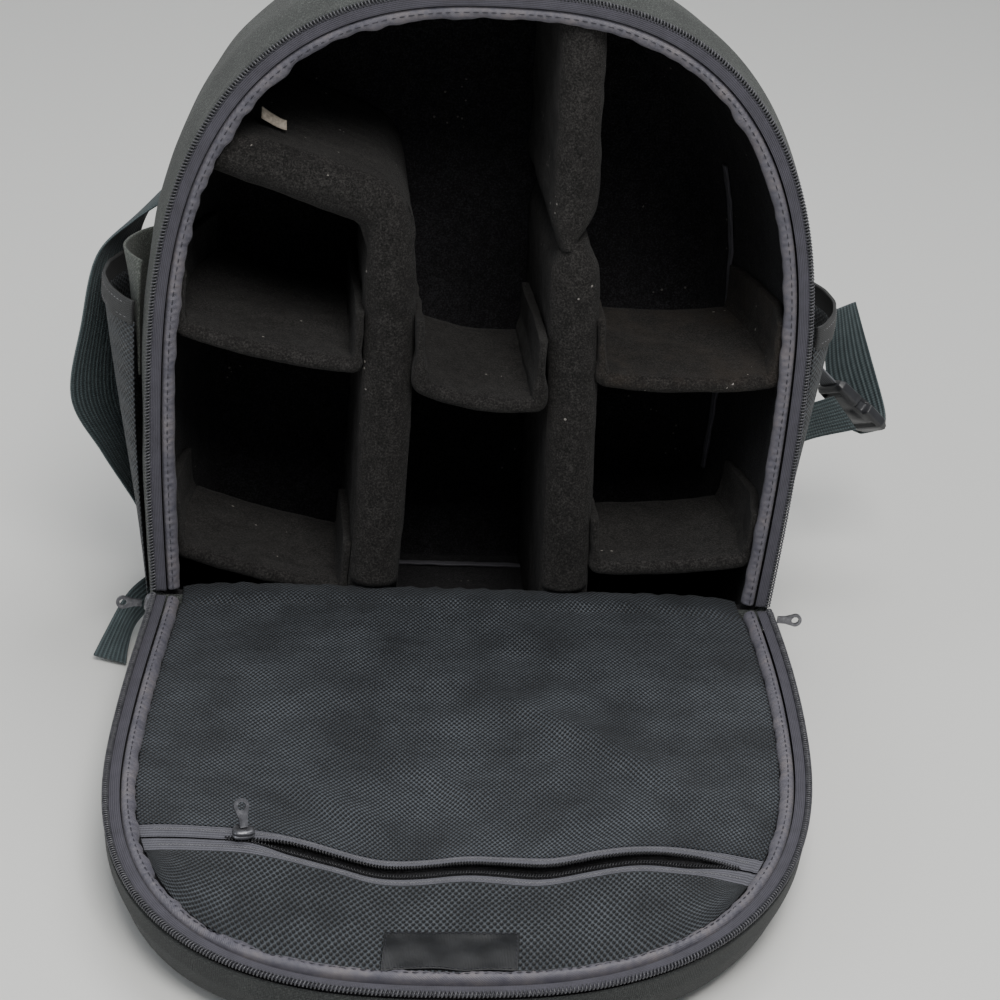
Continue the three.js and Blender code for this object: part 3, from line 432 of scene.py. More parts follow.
# Zips of the opening and of the panel's rim: a moulded coil on a dark woven tape. The coil is one
# nylon thread wound flat, so each turn shows as a tooth of the ladder.
zip_foot, coil_radius = kerb + 5, 1.6
coil_seat = gap + coil_radius
tape_inset, tape_width = coil_radius + gap, 4.2
panel_length, panel_start, panel_drop, panel_skew = 310.0, -80.0, 17.0, 28.0


def on_opening(x, height, out):
    """Points of the upright outline, out towards the viewer from the mouth of the bag."""
    return np.stack(np.broadcast_arrays(x, shell_front - out, height), -1)


def on_panel(x, height, up):
    """The same outline laid forward on the floor: it slopes down by panel_drop and swings to the left
    with the power 1.3 of the way along."""
    along = height - hinge_height
    share = np.maximum(along, 0) / panel_length
    return np.stack(np.broadcast_arrays(
        x - panel_skew * share ** 1.3, panel_start - along,
        hinge_height - panel_drop * along / panel_length + up), -1)


def inboard(x, height, up):
    """on_panel() for what lies inside the rim, whose band widens towards the far end."""
    along = height - hinge_height
    return on_panel(x, height - 6 * (np.maximum(along, 0) / panel_length) ** 8, up)


def arch_normals(line):
    """Unit vectors across a line of (x, height) pairs, pointing inwards from the arch."""
    step = np.gradient(line, axis=0)
    step /= np.linalg.norm(step, axis=1, keepdims=True)
    return np.stack([-step[:, 1], step[:, 0]], 1)


def tube(path, guide, radius, sides):
    """Round thread along a path: a circle set across the path's direction, from the guide vector."""
    ahead = np.gradient(path, axis=0)
    ahead /= np.linalg.norm(ahead, axis=1, keepdims=True)
    one = guide - (guide * ahead).sum(1, keepdims=True) * ahead
    one /= np.linalg.norm(one, axis=1, keepdims=True)
    other = np.cross(ahead, one)
    turn = np.linspace(0, 2 * np.pi, sides, endpoint=False)[None, :, None]
    rings = path[:, None] + radius * (np.cos(turn) * one[:, None] + np.sin(turn) * other[:, None])
    return np.concatenate([np.repeat(path[None, :1], sides, 1), rings, np.repeat(path[None, -1:], sides, 1)])


def wound(line, across, up, radius, height, pitch, thread, samples=9):
    """A flat coil along a line: line + radius cos(w) across + height sin(w) up, with w turning once
    for each pitch of length; round thread on it."""
    length = np.linalg.norm(np.diff(line, axis=0), axis=1).sum()
    count = int(length / pitch) * samples
    at = np.linspace(0, 1, count)
    source = np.linspace(0, 1, len(line))
    path, side, rise = (np.stack([np.interp(at, source, column) for column in values.T], 1)
                        for values in (line, across, up))
    w = (2 * np.pi * np.arange(count) / samples)[:, None]
    radial = np.cos(w) * side * radius + np.sin(w) * rise * height
    return tube(path + radial, radial, thread, 5)


# Cloudy tone of the dark nylon, whose lighter end is raised as a painted highlight on the teeth.
coil_nylon = mottled("coil_nylon", (0.035, 0.035, 0.040), 0.35, 350, (0.028, 0.028, 0.033),
                     (0.085, 0.085, 0.095), Specular_IOR_Level=0.5)


def ribbed_tape(name, color, pitch, relief=0.5):
    """Narrow woven tape: ribs across it, each crossed by finer threads, with uneven dye."""
    tape = paint(name, color, 0.8, Sheen_Weight=0.04)
    ribs = stripes(tape, place(tape, (1000 / pitch, 1000 / pitch, 1), "UV"), "X")
    fine = stripes(tape, place(tape, (1500, 1500, 1), "UV"), "Y")
    dye = noise(tape, place(tape, source="UV"), 120, 3, 0.6)
    tone = weighted(tape, (ribs, 0.4), (fine, 0.2), (dye, 0.5))
    shades = ramp(tape, tone, [(0.25, times(color, 0.5)), (0.55, color), (0.85, times(color, 1.5))])
    return wear(tape, shades, weighted(tape, (ribs, 1), (fine, 0.4)), 0.0003, relief)


dark_tape = ribbed_tape("dark_tape", (0.052, 0.050, 0.064), 0.9)


def arch_strip(profile, onto, count=700):
    """A profile of (inset, out) pairs carried round the arch from one zip end to the other."""
    lines = [arch_line(inset, zip_foot, 0, count) for inset, _ in profile]
    return np.array([onto(line[:, 0], line[:, 1], out) for line, (_, out) in zip(lines, profile)])


def edge_coil(name, onto, seat, node_name):
    """The zip coil on the outline itself."""
    line = arch_line(0, zip_foot, 0, 900)
    across = arch_normals(line)
    centre = onto(line[:, 0], line[:, 1], seat)
    inward = onto(line[:, 0] + across[:, 0], line[:, 1] + across[:, 1], seat) - centre
    rise = onto(line[:, 0], line[:, 1], seat + 1) - centre
    coil = wound(centre, inward, rise, radius=1.25, height=1.05, pitch=1.65, thread=0.42)
    return surface(name, coil, coil_nylon, node_name)


def squared(turn, power):
    """A circle squared up to a superellipse: cosine and sine with their sizes raised to a power."""
    return tuple(np.sign(part) * np.abs(part) ** power for part in (np.cos(turn), np.sin(turn)))


def closed_profile(width, height, start, low, sides=24):
    """Rounded flat section from a superellipse of power 4, as (inset, out) pairs."""
    across, up = squared(np.linspace(0, 2 * np.pi, sides, endpoint=False), 0.5)
    return np.stack([start + width / 2 * (1 + across), low + height / 2 * (1 + up)], 1)


def closed(rings, shares=(0.0,)):
    """Rings with both ends drawn in to their middles."""
    return np.concatenate([shrunk(rings[0], shares), rings, shrunk(rings[-1], shares[::-1])])


def capped(strip):
    """Closes both ends of a strip whose rows are its profile and whose columns go along."""
    return closed(np.swapaxes(strip, 0, 1))


for edge, onto, seat in (("opening", on_opening, coil_seat), ("panel", on_panel, coil_radius)):
    edge_coil(f"{edge}_coil", onto, seat, f"{edge}_zip_coil")
for edge, onto, low in (("opening", on_opening, coil_seat - 0.6), ("panel", on_panel, 0.0)):
    tape = arch_strip(closed_profile(width=tape_width + 1.35, height=1.1, start=0.6, low=low), onto)
    surface(f"{edge}_tape", capped(tape), dark_tape, f"{edge}_zip_tape")

# Edge binding: grey satin bias tape rolled over the raw edge of the lining and stitched down near its
# outer side. It puckers between the stitches, so its inner edge waves.
binding_inset, binding_width = tape_inset + tape_width + gap, 6.5
satin = paint("grey_satin", (0.11, 0.105, 0.125), 0.5, Sheen_Weight=0.06, Anisotropic=0.3)
satin_threads = stripes(satin, place(satin, (1400, 1400, 1), "UV", turn=0.7), "X")
satin_cloud = noise(satin, place(satin, source="UV"), 55, 3, 0.6)
satin_rub = noise(satin, place(satin, source="UV"), 400, 4, 0.7)
satin_tones = ramp(satin, weighted(satin, (satin_cloud, 0.6), (satin_rub, 0.4)), [
    (0.36, (0.065, 0.064, 0.085)), (0.5, (0.11, 0.105, 0.125)), (0.66, (0.165, 0.148, 0.155))])
wear(satin, satin_tones, weighted(satin, (satin_threads, 1), (satin_rub, 2.5)), 0.00022, 0.55)


def rolled_binding(name, onto, seat, seed, node_name, bulge):
    """Half-round section over (inset, out), puckered: its inner edge and its height wave along the
    arch with two seeded ripples, the shorter one at the stitch spacing."""
    count = 900
    turn = np.linspace(0, 2 * np.pi, 28, endpoint=False)
    across = 0.5 - 0.5 * np.cos(turn)
    up = np.where(np.sin(turn) > 0, np.abs(np.sin(turn)) ** 0.65, -0.25 * np.abs(np.sin(turn)))
    base = arch_line(binding_inset, zip_foot, 0, count)
    inward = arch_normals(base)
    along = np.linspace(0, 930, count)
    loose = 0.35 + 0.75 * np.exp(-((along - 610) / 120) ** 2) + 0.3 * np.exp(-((along - 300) / 60) ** 2)
    wave = loose * (ripple(along, 0.0, seed, 26.0) + 0.5 * ripple(along, 0.0, seed + 1, 9.0))
    tuck = loose * ripple(along, 0.0, seed + 2, 13.0)
    rows = []
    for share, rise in zip(across, up):
        reach = share * (binding_width + 1.1 * wave * share)
        ridge = np.sin(along * 6.283 / 4.2 + 2 * share) * 0.22 * np.sin(np.pi * share)
        out = seat + 4.6 * bulge * rise * (1 - 0.25 * share + 0.13 * tuck * share) + ridge * (rise > 0)
        rows.append(onto(base[:, 0] + inward[:, 0] * reach, base[:, 1] + inward[:, 1] * reach, out))
    return surface(name, capped(np.array(rows)), satin, node_name)


rolled_binding("opening_edge_binding", on_opening, -2.6, 21, "opening_binding", bulge=1.0)
rolled_binding("panel_edge_binding", inboard, -3.25, 31, "panel_binding", bulge=1.05)


def beads(centres, along, up, length, width, height, rings=5, sides=6):
    """Small rounded dashes: an ellipsoid at each centre, laid along its own direction."""
    along = along / np.linalg.norm(along, axis=1, keepdims=True)
    up = up - (up * along).sum(1, keepdims=True) * along
    up /= np.linalg.norm(up, axis=1, keepdims=True)
    side = np.cross(along, up)
    lat = np.linspace(-np.pi / 2, np.pi / 2, rings)[None, :, None, None]
    lon = np.linspace(0, 2 * np.pi, sides, endpoint=False)[None, None, :, None]
    bits = [v[:, None, None, :] for v in (centres, along, up, side)]
    return (bits[0] + bits[1] * np.sin(lat) * length / 2 + bits[2] * np.cos(lat) * np.sin(lon) * height / 2
            + bits[3] * np.cos(lat) * np.cos(lon) * width / 2)


def stitched(name, line, up, pitch, length, thread, width):
    """A row of stitches along a line, one dash for each pitch."""
    walked = np.concatenate([[0], np.cumsum(np.linalg.norm(np.diff(line, axis=0), axis=1))])
    at = np.arange(pitch / 2, walked[-1], pitch)
    centres, further, ups = (
        np.stack([np.interp(places, walked, column) for column in values.T], 1)
        for places, values in ((at, line), (at + 0.3, line), (at, up)))
    ahead = further - centres + 1e-6
    return surface(name, beads(centres, ahead, ups, length, width, width), thread, None)


stitch_thread, grey_thread = (
    mottled(name, tint, 0.7, 900, times(tint, 0.7), times(tint, 1.3), detail=2)
    for name, tint in (("stitch_thread", (0.03, 0.029, 0.038)), ("grey_thread", (0.17, 0.17, 0.18))))
seam = arch_line(binding_inset + 2.9, zip_foot, 0, 600)
for seam_name, onto, rise in (("opening_seam", on_opening, 1.5), ("panel_seam", inboard, 1.05)):
    laid = onto(seam[:, 0], seam[:, 1], rise)
    up = onto(seam[:, 0], seam[:, 1], rise + 1) - laid
    stitched(seam_name, laid, up, 4.2, 3.0, stitch_thread, width=0.65)

# Lowered front panel: a shallow pan of the same heather cloth, painted darker as shade, that narrows to the
# floor, a padded board inside it, and the padded fold that hinges it over the kerb.
pan_falls = np.array([0.04, 0.35, 0.75, 1.0])
pan_draws = np.array([0.0, 0.05, 0.3, 1.0])
pan_foot, pan_draw = hinge_height + 7, 20.0
# Painted shade: the same heather weave at about half its brightness, for the pan that lies low by the floor.
panel_shaded_heather = heather_cloth("panel_cloth_painted_shade", (0.012, 0.014, 0.014), (0.045, 0.05, 0.048))


def pan_ring(inset, fall):
    """Ring of the pan between its rim and the floor."""
    flat = ring(inset, pan_foot + inset, 10.0, 0.0)
    along = flat[:, 2] - hinge_height
    rim = on_panel(flat[:, 0], flat[:, 2], -4.35 * np.clip((16 - along) / 8, 0, 1))
    rim[:, 2] *= 1 - fall
    return rim


falls = np.concatenate([np.linspace(0.04, 0.98, 20), [1.0]])
pan = [pan_ring(2.2, 0.1), pan_ring(0.2, 0.045)]
pan += [pan_ring(pan_draw * np.interp(fall, pan_falls, pan_draws) - cloth_reach, fall) for fall in falls]
pan += shrunk(pan[-1], (0.97, 0.8, 0.5, 0.0))
pan = np.array(pan)
sag = ripple(pan[..., 0], pan[..., 1], 8, 45.0)
pan[4:-6, :, 0] += (np.sign(pan[4:-6, :, 0] + 14) * 0.35 * sag[4:-6])
panel_outside = thicken(surface("panel_outside", pan, panel_shaded_heather, "panel_shell"), 1.2)

net_inset = binding_inset + binding_width + 0.7
pan_wall, pad_play = 2.5, 1.4
pad_inset = pan_wall + pad_play - cloth_reach


def pad_ring(inset, up):
    """Ring of the padded board at a height over the slope of the rim."""
    flat = ring(inset, pan_foot + inset, 10.0, 0.0)
    return on_panel(flat[:, 0], flat[:, 2], up)


pad = shrunk(pad_ring(pad_inset + 3, -10), (0.0, 0.5, 0.9)) + [pad_ring(pad_inset + 2, -10.0)]
pad += [pad_ring(pad_inset, -7.0), pad_ring(pad_inset + 0.6, -5.0), pad_ring(pad_inset + 2, -4.05)]
pad += shrunk(pad[-1], (0.95, 0.7, 0.35, 0.0))
panel_board = surface("panel_board", np.array(pad), lining_felt, "panel_padding")

hinge_half_span = hinge_half - net_inset - 2.5
u, v = np.meshgrid(np.linspace(-1, 1, 120), np.linspace(0, 1, 26))
roll_top = 3.6 * np.sin(np.pi * 0.72 * v) ** 0.6 * (1 + 0.12 * ripple(u * 140, v * 12, 3, 30.0))
edge = 1 - np.abs(u) ** 24
fold_y = room_front + 1 + (panel_start - 4 + gap - room_front - 1) * v
fold_top = np.stack([u * hinge_half_span, fold_y, kerb + gap + 0.3 + (0.8 + roll_top) * edge], -1)
fold_low = np.stack([u * hinge_half_span, fold_y, np.full_like(u, kerb + gap)], -1)
fold = closed(np.concatenate([fold_top, fold_low[:, ::-1]], 1))
hinge_fold = surface("hinge_fold", fold, lining_felt, "panel_hinge")

# Net pocket over the panel: dark knitted net with small pale knots in diagonal rows, whose paleness is a
# painted highlight, and painted shade in its holes; slack enough to fold, cut in two by the pocket zip.
pocket_place, net_rise, zip_reach = 222.0, 9.0, 1.004
zip_across = np.array([-1, -0.7, -0.45, -0.25, 0.02, 0.3, 0.6, 0.82, 1.0])
zip_along = np.array([0.905, 0.915, 0.975, 1.03, 1.005, 1.025, 0.96, 0.965, 0.99])
smooth_across = np.linspace(-1, 1, 201)
smooth_along = smoothed(smoothed(np.interp(smooth_across, zip_across, zip_along), 6), 6)
net_folds = ((-0.45, 0.2, 0.3, 0.16, 0.45), (0.35, 0.42, 0.22, 0.3, 0.35),
             (-0.7, 0.5, 0.16, 0.18, -0.3), (-0.1, 0.56, 0.12, 0.14, -0.35))


def net_edge(along):
    """Half the net's width at a distance along the panel."""
    return half_width(along + hinge_height, net_inset)


def pocket_zip(across):
    """Place of the pocket zip along the panel, for a share of the net's width there."""
    reach = across * net_edge(pocket_place * np.interp(across, smooth_across, smooth_along))
    return pocket_place * np.interp(reach / net_edge(pocket_place), smooth_across, smooth_along)


net_ridges = ((62, 128, 10, 60, 0.42), (38, 60, 12, 45, -0.22), (-78, 176, 9, 26, -0.3),
              (-52, 180, 7, 22, 0.22), (-15, 150, 8, 30, 0.2), (-110, 60, 9, 30, 0.18))


def net_height(x, along):
    """Height of the slack net over its board: it is held down at its edges and rises in gaussian
    folds, each at its own place, with a fine unevenness over all."""
    half = np.maximum(net_edge(along), 1)
    across = np.clip(x / half, -1, 1)
    length = along / panel_length
    folds = 0.3 + 0.1 * np.exp(-length * 9)
    for fold_across, fold_along, wide, long, rise in net_folds:
        spread = ((across - fold_across) / wide) ** 2 + ((length - fold_along) / long) ** 2
        folds = folds + rise * np.exp(-spread)
    for at_x, at_along, wide, long, rise in net_ridges:
        slant = ((x - at_x) * 0.62 - (along - at_along) * 0.78) / wide
        folds = folds + rise * np.exp(-slant ** 2 - ((x - at_x) / long) ** 2)
    folds = folds + 0.055 * ripple(x, along, 17, 38.0)
    edge = (1 - np.abs(across) ** (4 + 8 * np.exp(-along / 12))) * np.minimum(1, (1 - length) / 0.12)
    pleats = 0.45 * np.exp(-along / 14) * ripple(x, 0.0, 23, 8.0)
    return np.maximum(net_rise * edge * folds + edge * pleats, 0)


def over_pad(x, along, up):
    """Points at a height over the slack net."""
    return inboard(x, along + hinge_height, -4 + gap + net_height(x, along) + up)


def knitted_net(name, cell, hole_shade, thread, knot_highlight):
    """Knitted net: diamond cells on the diagonal of the cloth and a thread round each. The holes are painted
    near black, the dark backing in painted shade, and the knots where the threads meet carry a painted
    highlight."""
    net = paint(name, thread, 0.6, Sheen_Weight=0.03)
    diamonds = place(net, (1000 / cell, 1000 / cell / 1.25, 1), "UV", turn=np.pi / 4)
    cellular = node(net, "TexVoronoi", [("Vector", diamonds), ("Scale", 1.0), ("Randomness", 0.08)],
                    voronoi_dimensions="2D").outputs
    # Cloudy painted light and shade, darker and lighter at random, stands in for the shading of the net's
    # folds.
    painted_fold_light = noise(net, place(net, source="UV"), 25, 3, 0.6)
    rows = stripes(net, place(net, (1000 / cell, 1000 / cell, 1), "UV"), "Y")
    # Painted shade fills the holes and a painted highlight sits on the knots where the threads cross.
    holes = ramp(net, cellular["Distance"], [(0.0, hole_shade), (0.30, hole_shade), (0.38, thread), (0.56, knot_highlight)])
    shade = ramp(net, painted_fold_light, [(0.34, (0.45, 0.48, 0.52)), (0.66, (1.35, 1.35, 1.35))])
    toned = blended(net, 1.0, holes, shade, "MULTIPLY")
    height = weighted(net, (cellular["Distance"], 1), (rows, 0.06))
    return wear(net, toned, height, 0.0012, 0.9)


# The hole colour is painted shade and the knot colour a painted highlight.
panel_net = knitted_net("panel_net", 1.7, (0.0012, 0.0014, 0.0022), (0.011, 0.0135, 0.0175),
                        (0.062, 0.071, 0.082))
net_rows, net_columns = 200, 230


def normals(grid):
    """Unit normals of a grid of points: the cross product of its two directions."""
    normal = np.cross(np.gradient(grid, axis=0), np.gradient(grid, axis=1))
    return normal / np.maximum(np.linalg.norm(normal, axis=2, keepdims=True), 1e-9)


def slab(grid, thickness):
    """Closed cloth: the grid moved both ways along its normals, with the ends drawn shut."""
    half = normals(grid) * np.asarray(thickness)[..., None] / 2
    both = np.concatenate([grid + half, (grid - half)[:, ::-1]], 1)
    ends = [np.concatenate([grid[k], grid[k][::-1]])[None] for k in (0, -1)]
    return np.concatenate([ends[0], both, ends[1]])


def cloth_sheet(name, grid, thickness, finish, node_name):
    """A closed sheet of cloth of a given thickness over a grid."""
    piece = surface(name, slab(grid, thickness), finish, node_name)
    return piece


across, share = np.meshgrid(np.linspace(-zip_reach, zip_reach, net_columns), np.linspace(0, 1, net_rows))
tape_reach = 1.8 + 2.2 + gap + 5.0


def on_net(across, along, up):
    """over_pad() for shares of the net's half-width."""
    return over_pad(across * net_edge(along), along, up)


net_over, net_start, fold_rows = 0.6, 4.0, 16
net_run = pocket_zip(across) - tape_reach - gap - net_start
upper_net = on_net(across, net_start + net_run * share, net_over)
v = np.linspace(0.0, 0.94, fold_rows)[:, None]
fold_across = across[:fold_rows]
fold_swell = (1.4 + 3.7 * np.sin(np.pi * (0.08 + 0.66 * v)) ** 0.6
              + 0.5 * ripple(fold_across * 140, v * 6, 23, 8.0))
over_fold = np.stack(np.broadcast_arrays(
    fold_across * hinge_half_span * 1.01,
    fold_y[0, 0] - 0.8 + (fold_y[-1, 0] - fold_y[0, 0] + 0.8) * v,
    kerb + gap + net_over + fold_swell * (1 - np.abs(fold_across) ** 12)), -1)
upper_net = smoothed(np.concatenate([over_fold, upper_net]), 2)
cloth_sheet("pocket_net_near", upper_net, 0.9, panel_net, "pocket_net_upper")
far_rows = 90
lower_start = pocket_zip(across[:far_rows]) + tape_reach + gap
lower_x = across[:far_rows] * net_edge(lower_start)
lower_end = np.maximum(arch_height(lower_x, net_inset) - hinge_height, lower_start + gap)
lower_along = lower_start + (lower_end - lower_start) * np.linspace(0, 1, far_rows)[:, None]
# The hole colour is painted shade and the knot colour a painted highlight.
coarse_net = knitted_net("coarse_net", 2.0, (0.0010, 0.0012, 0.0018), (0.010, 0.012, 0.015),
                         (0.058, 0.066, 0.075))
cloth_sheet("pocket_net_far", over_pad(lower_x, lower_along, net_over), 0.9, coarse_net, "pocket_net_lower")

# Pocket zip: two grey ribbed tapes, sewn to the nets with a zigzag, each with half of a black coil
# along its edge. It stands open over most of its length.
grey_tape = ribbed_tape("grey_tape", (0.088, 0.088, 0.104), 1.1, 0.7)
black_coil = mottled("black_coil", (0.010, 0.010, 0.012), 0.35, 500, (0.006, 0.006, 0.007),
                     (0.02, 0.02, 0.023), detail=2)
zip_steps = np.linspace(-zip_reach, zip_reach, 420)


def parted(steps):
    """How far the zip stands open, 0 to 1: shut beyond its slider on the left and at its right end."""
    left, right = np.clip((steps + 0.69) / 0.16, 0, 1), np.clip((0.95 - steps) / 0.2, 0, 1)
    return left * left * (3 - 2 * left) * right * right * (3 - 2 * right)


def beside_zip(side, near, far, share, up, steps=zip_steps):
    """Line beside the zip, at a share of the way between two distances of which the nearer one
    closes to the zip's middle where it is shut."""
    inner = near * parted(steps) + 0.25 + (near - 1) * 0.12
    return on_net(steps, pocket_zip(steps) + side * (inner + (far - inner) * share), up)


tape_edge, teeth_edge = 4.35, 2.9
teeth_steps, zigzag_steps = np.linspace(-0.74, 0.94, 500), np.linspace(-0.96, 0.96, 300)
for where, half_name, side in (("near", "upper", -1), ("far", "lower", 1)):
    profile = closed_profile(width=1.0, height=0.9, start=0.0, low=0.05, sides=20)
    tape = np.array([beside_zip(side, tape_edge, tape_reach, share, up) for share, up in profile])
    surface(f"pocket_tape_{where}", capped(tape), grey_tape, f"pocket_tape_{half_name}")
    centre = beside_zip(side, teeth_edge, 9.0, 0.0, 1.1, teeth_steps)
    out = beside_zip(side, teeth_edge, 9.0, 0.16, 1.1, teeth_steps) - centre
    out /= np.linalg.norm(out, axis=1, keepdims=True)
    coil = wound(centre, out, np.zeros_like(centre) + [0, 0, 1.0], radius=0.85, height=0.7, pitch=1.35,
                 thread=0.3)
    surface(f"pocket_teeth_{where}", coil, black_coil, f"pocket_coil_{half_name}")
    swing = np.where(np.arange(len(zigzag_steps)) % 2, 0.105, -0.105)
    laid = beside_zip(side, tape_edge, tape_reach, 0.58 + swing, 1.05, zigzag_steps)
    step = np.diff(laid, axis=0)
    middles, upward = (laid[1:] + laid[:-1]) / 2, step * 0 + [0, 0, 1.0]
    zigzag = beads(middles, step, upward, length=2.0, width=0.3, height=0.3)
    surface(f"pocket_zigzag_{where}", zigzag, grey_thread, None)

# Panel label: a blank woven satin tab at the panel's far end. Its edges are turned under and held
# down by one row of small stitches.
label_satin = mottled("label_satin", (0.005, 0.0055, 0.007), 0.4, 260, (0.0035, 0.004, 0.005),
                      (0.009, 0.010, 0.012), Sheen_Weight=0.03)
wear(label_satin, None, stripes(label_satin, place(label_satin, (1600, 1600, 1), "UV"), "X"), 0.0002, 0.4)
label_end, label_long, label_half, label_turn = panel_length - net_inset - 1, 24.0, 28.0, 1.0


def over_label(x, along, up):
    """Points at a height over the net, which the label follows with a crumple of its own."""
    return over_pad(x, along, up + 0.5 * ripple(x, along, 41, 22.0))


across, along = np.meshgrid(np.linspace(-label_half, label_half, 80),
                            np.linspace(label_end - label_long, label_end, 40))
cloth_sheet("blank_label", over_label(across, along, 1.9), 0.6, label_satin, "panel_label")
seam_x = (label_half - label_turn) * np.array([-1, 1, 1, -1, -1])
seam_along = label_end - label_turn - (label_long - 2 * label_turn) * np.array([1, 1, 0, 0, 1])
border = evenly(np.stack([seam_x, seam_along], 1), 300)
laid = over_label(border[:, 0], border[:, 1], 2.35)
stitched("label_seam", laid, laid * 0 + [0, 0, 1.0], 2.6, 1.7, stitch_thread, 0.35)

# Zip hardware: cast sliders with a bridge, painted dark grey, and flat pulls with an eye. The worn
# edges show brighter metal.
cast_metal = paint("cast_metal", (0.12, 0.12, 0.13), 0.34, Metallic=0.75)
rub = noise(cast_metal, place(cast_metal), 300, 4, 0.7)
wear(cast_metal, ramp(cast_metal, rub, [(0.35, (0.10, 0.10, 0.11)), (0.55, (0.17, 0.17, 0.185)),
                                        (0.75, (0.34, 0.34, 0.36))]), rub, 0.0002, 0.3)


def slider_shape(centre, across, along, up):
    """Slider body seen from above as a superellipse waisted at one end, in layers whose size bulges
    with the height."""
    wide, long = squared(np.linspace(0, 2 * np.pi, 48, endpoint=False), 0.7)
    wide = wide * (1 - 0.28 * (long + 1) / 2)
    levels = np.linspace(-1, 1, 13)
    sizes = (1 - np.abs(levels) ** 3 * 0.22) - 0.14 * np.exp(-(levels / 0.22) ** 2)
    sizes = np.concatenate([[0, 0.6], sizes, [0.6, 0]])
    levels = np.concatenate([[-1, -1], levels, [1, 1]])
    half_wide, half_long, half_high = 4.5, 5.0, 2.0
    grid = centre + (half_wide * sizes[:, None] * wide)[..., None] * across
    grid = grid + (half_long * sizes[:, None] * long)[..., None] * along
    return grid + (half_high * levels[:, None] * np.ones_like(wide))[..., None] * up


def bridge_shape(centre, along, up):
    """Bent wire over the slider: half a superellipse from end to end."""
    reach, rise = squared(np.linspace(0, np.pi, 40), 0.6)
    path = centre + 3.4 * reach[:, None] * along + (1.7 + 2.3 * rise)[:, None] * up
    return tube(path, np.repeat(np.cross(along, up)[None], 40, 0), 0.7, 8)


def corners_of(node_name):
    """Low and high corner of a solid's box in millimetres."""
    return np.array(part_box(node_name)) * 1000


x_way, y_way, z_way = np.eye(3)
for where in ("left", "right"):
    centre = corners_of(f"slider_{where}").mean(0)
    surface(f"slider_body_{where}", slider_shape(centre, x_way, z_way, -y_way), cast_metal,
            f"slider_{where}")
    surface(f"slider_bridge_{where}", bridge_shape(centre, z_way, -y_way), cast_metal, None)
centre = corners_of("pocket_slider").mean(0)
surface("pocket_slider_body", slider_shape(centre, y_way, x_way, z_way), cast_metal, "pocket_slider")
for pull_name in ("pull_left", "pull_right", "pocket_pull"):
    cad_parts[pull_name].data.materials.clear()
    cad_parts[pull_name].data.materials.append(cast_metal)

# Padded dividers: foam boards covered in brushed felt, with a rounded front edge. The left one is a
# post whose top bends over to the left wall; the right one is two pieces that lean and meet.
divider_left_x, divider_thick = -46.5, 25.0
bend_height, arm_height, joint_height = 247.0, 271.0, 236.0
over_kerb, kerb_back = kerb + 7.6, -62.0


def room_side(y):
    """Inset of the room's side walls at a depth."""
    share = np.clip((y - room_front) / (room_back - room_front), 0, 1)
    return room_inset + back_inset * np.interp(share, depth_steps, draw_steps)


def divider_right_x(z):
    """Middle of the right divider, which leans inwards up to the arch."""
    return 37 + 18 * np.maximum((arch_top - z) / arch_top, 0) ** 1.3


def foam_board(name, depths, swells, line_at, thickness, finish, node_name, seed, bumps=0.5):
    """Foam board: its middle line of (x, z) pairs at each depth, moved both ways across the line by
    half the thickness times the swell at that depth; the first and last rows close to the line."""
    rows = []
    for y, swell in zip(depths, swells):
        line = line_at(y)
        step = np.gradient(line, axis=0)
        step /= np.maximum(np.linalg.norm(step, axis=1, keepdims=True), 1e-9)
        across = np.stack([step[:, 1], -step[:, 0]], 1)
        walked = np.linspace(0, np.linalg.norm(np.diff(line, axis=0), axis=1).sum(), len(line))
        level = np.full_like(walked, y * 1.2)
        half = thickness(np.linspace(0, 1, len(line)), y) / 2 * swell
        sides = []
        for way in (1, -1):
            uneven = bumps * (ripple(walked, level, seed + way, 34.0)
                              + 0.5 * ripple(walked, level, seed + 5 + way, 14.0))
            flat = line + way * across * (half + np.minimum(uneven, 0.4) * swell * (half > 0))[:, None]
            sides.append(np.stack([flat[:, 0], np.full(len(flat), y), flat[:, 1]], 1))
        rows.append(np.concatenate([sides[0], sides[1][::-1]]))
    piece = surface(name, np.array(rows), finish, node_name)


def rounded_depths(front, back, radius, count=34):
    """Depths and swells of a board with a half-round front edge and a softly rounded back one."""
    turn = np.linspace(0, np.pi / 2, 12)
    nose = front + radius * (1 - np.cos(turn))
    middle = np.linspace(front + radius, back - 2.0, count)[1:]
    tail = back - 2.0 + 2.0 * np.sin(np.linspace(0, np.pi / 2, 5))[1:]
    swells = np.concatenate([np.sin(turn), np.ones(len(middle)), np.cos(np.linspace(0, np.pi / 2, 5))[1:]])
    return np.concatenate([nose, middle, tail]), swells


def foot_height(y):
    """Where a board ends below: over the kerb at the front, on the floor of the room behind it."""
    return over_kerb if y < kerb_back else room_floor + gap


def post_bow(z):
    """How far the left post bows to the right: a half sine from the floor to under the bend."""
    return 2.2 * np.sin((z - 20) / 215 * np.pi)


def left_divider_line(y):
    """Straight post, then a bend through given shares of the arm's reach and rise to the wall."""
    wall = -(half_width(arm_height, room_side(y)) - 1.2)
    reach = np.array([0, 0.0, 0.02, 0.10, 0.26, 0.6, 1.0])
    rise = np.array([-2.6, -0.9, -0.35, 0.08, 0.26, 0.62, 1.0])
    x = divider_left_x + (wall - divider_left_x) * reach
    z = bend_height + (arm_height - bend_height) * rise
    line = evenly(np.concatenate([[[divider_left_x, foot_height(y)]], np.stack([x, z], 1)]), 150)
    line = smoothed(line, 3)
    line[:, 0] += post_bow(line[:, 1]) * (line[:, 1] < 235) * (line[:, 0] > -60)
    return line


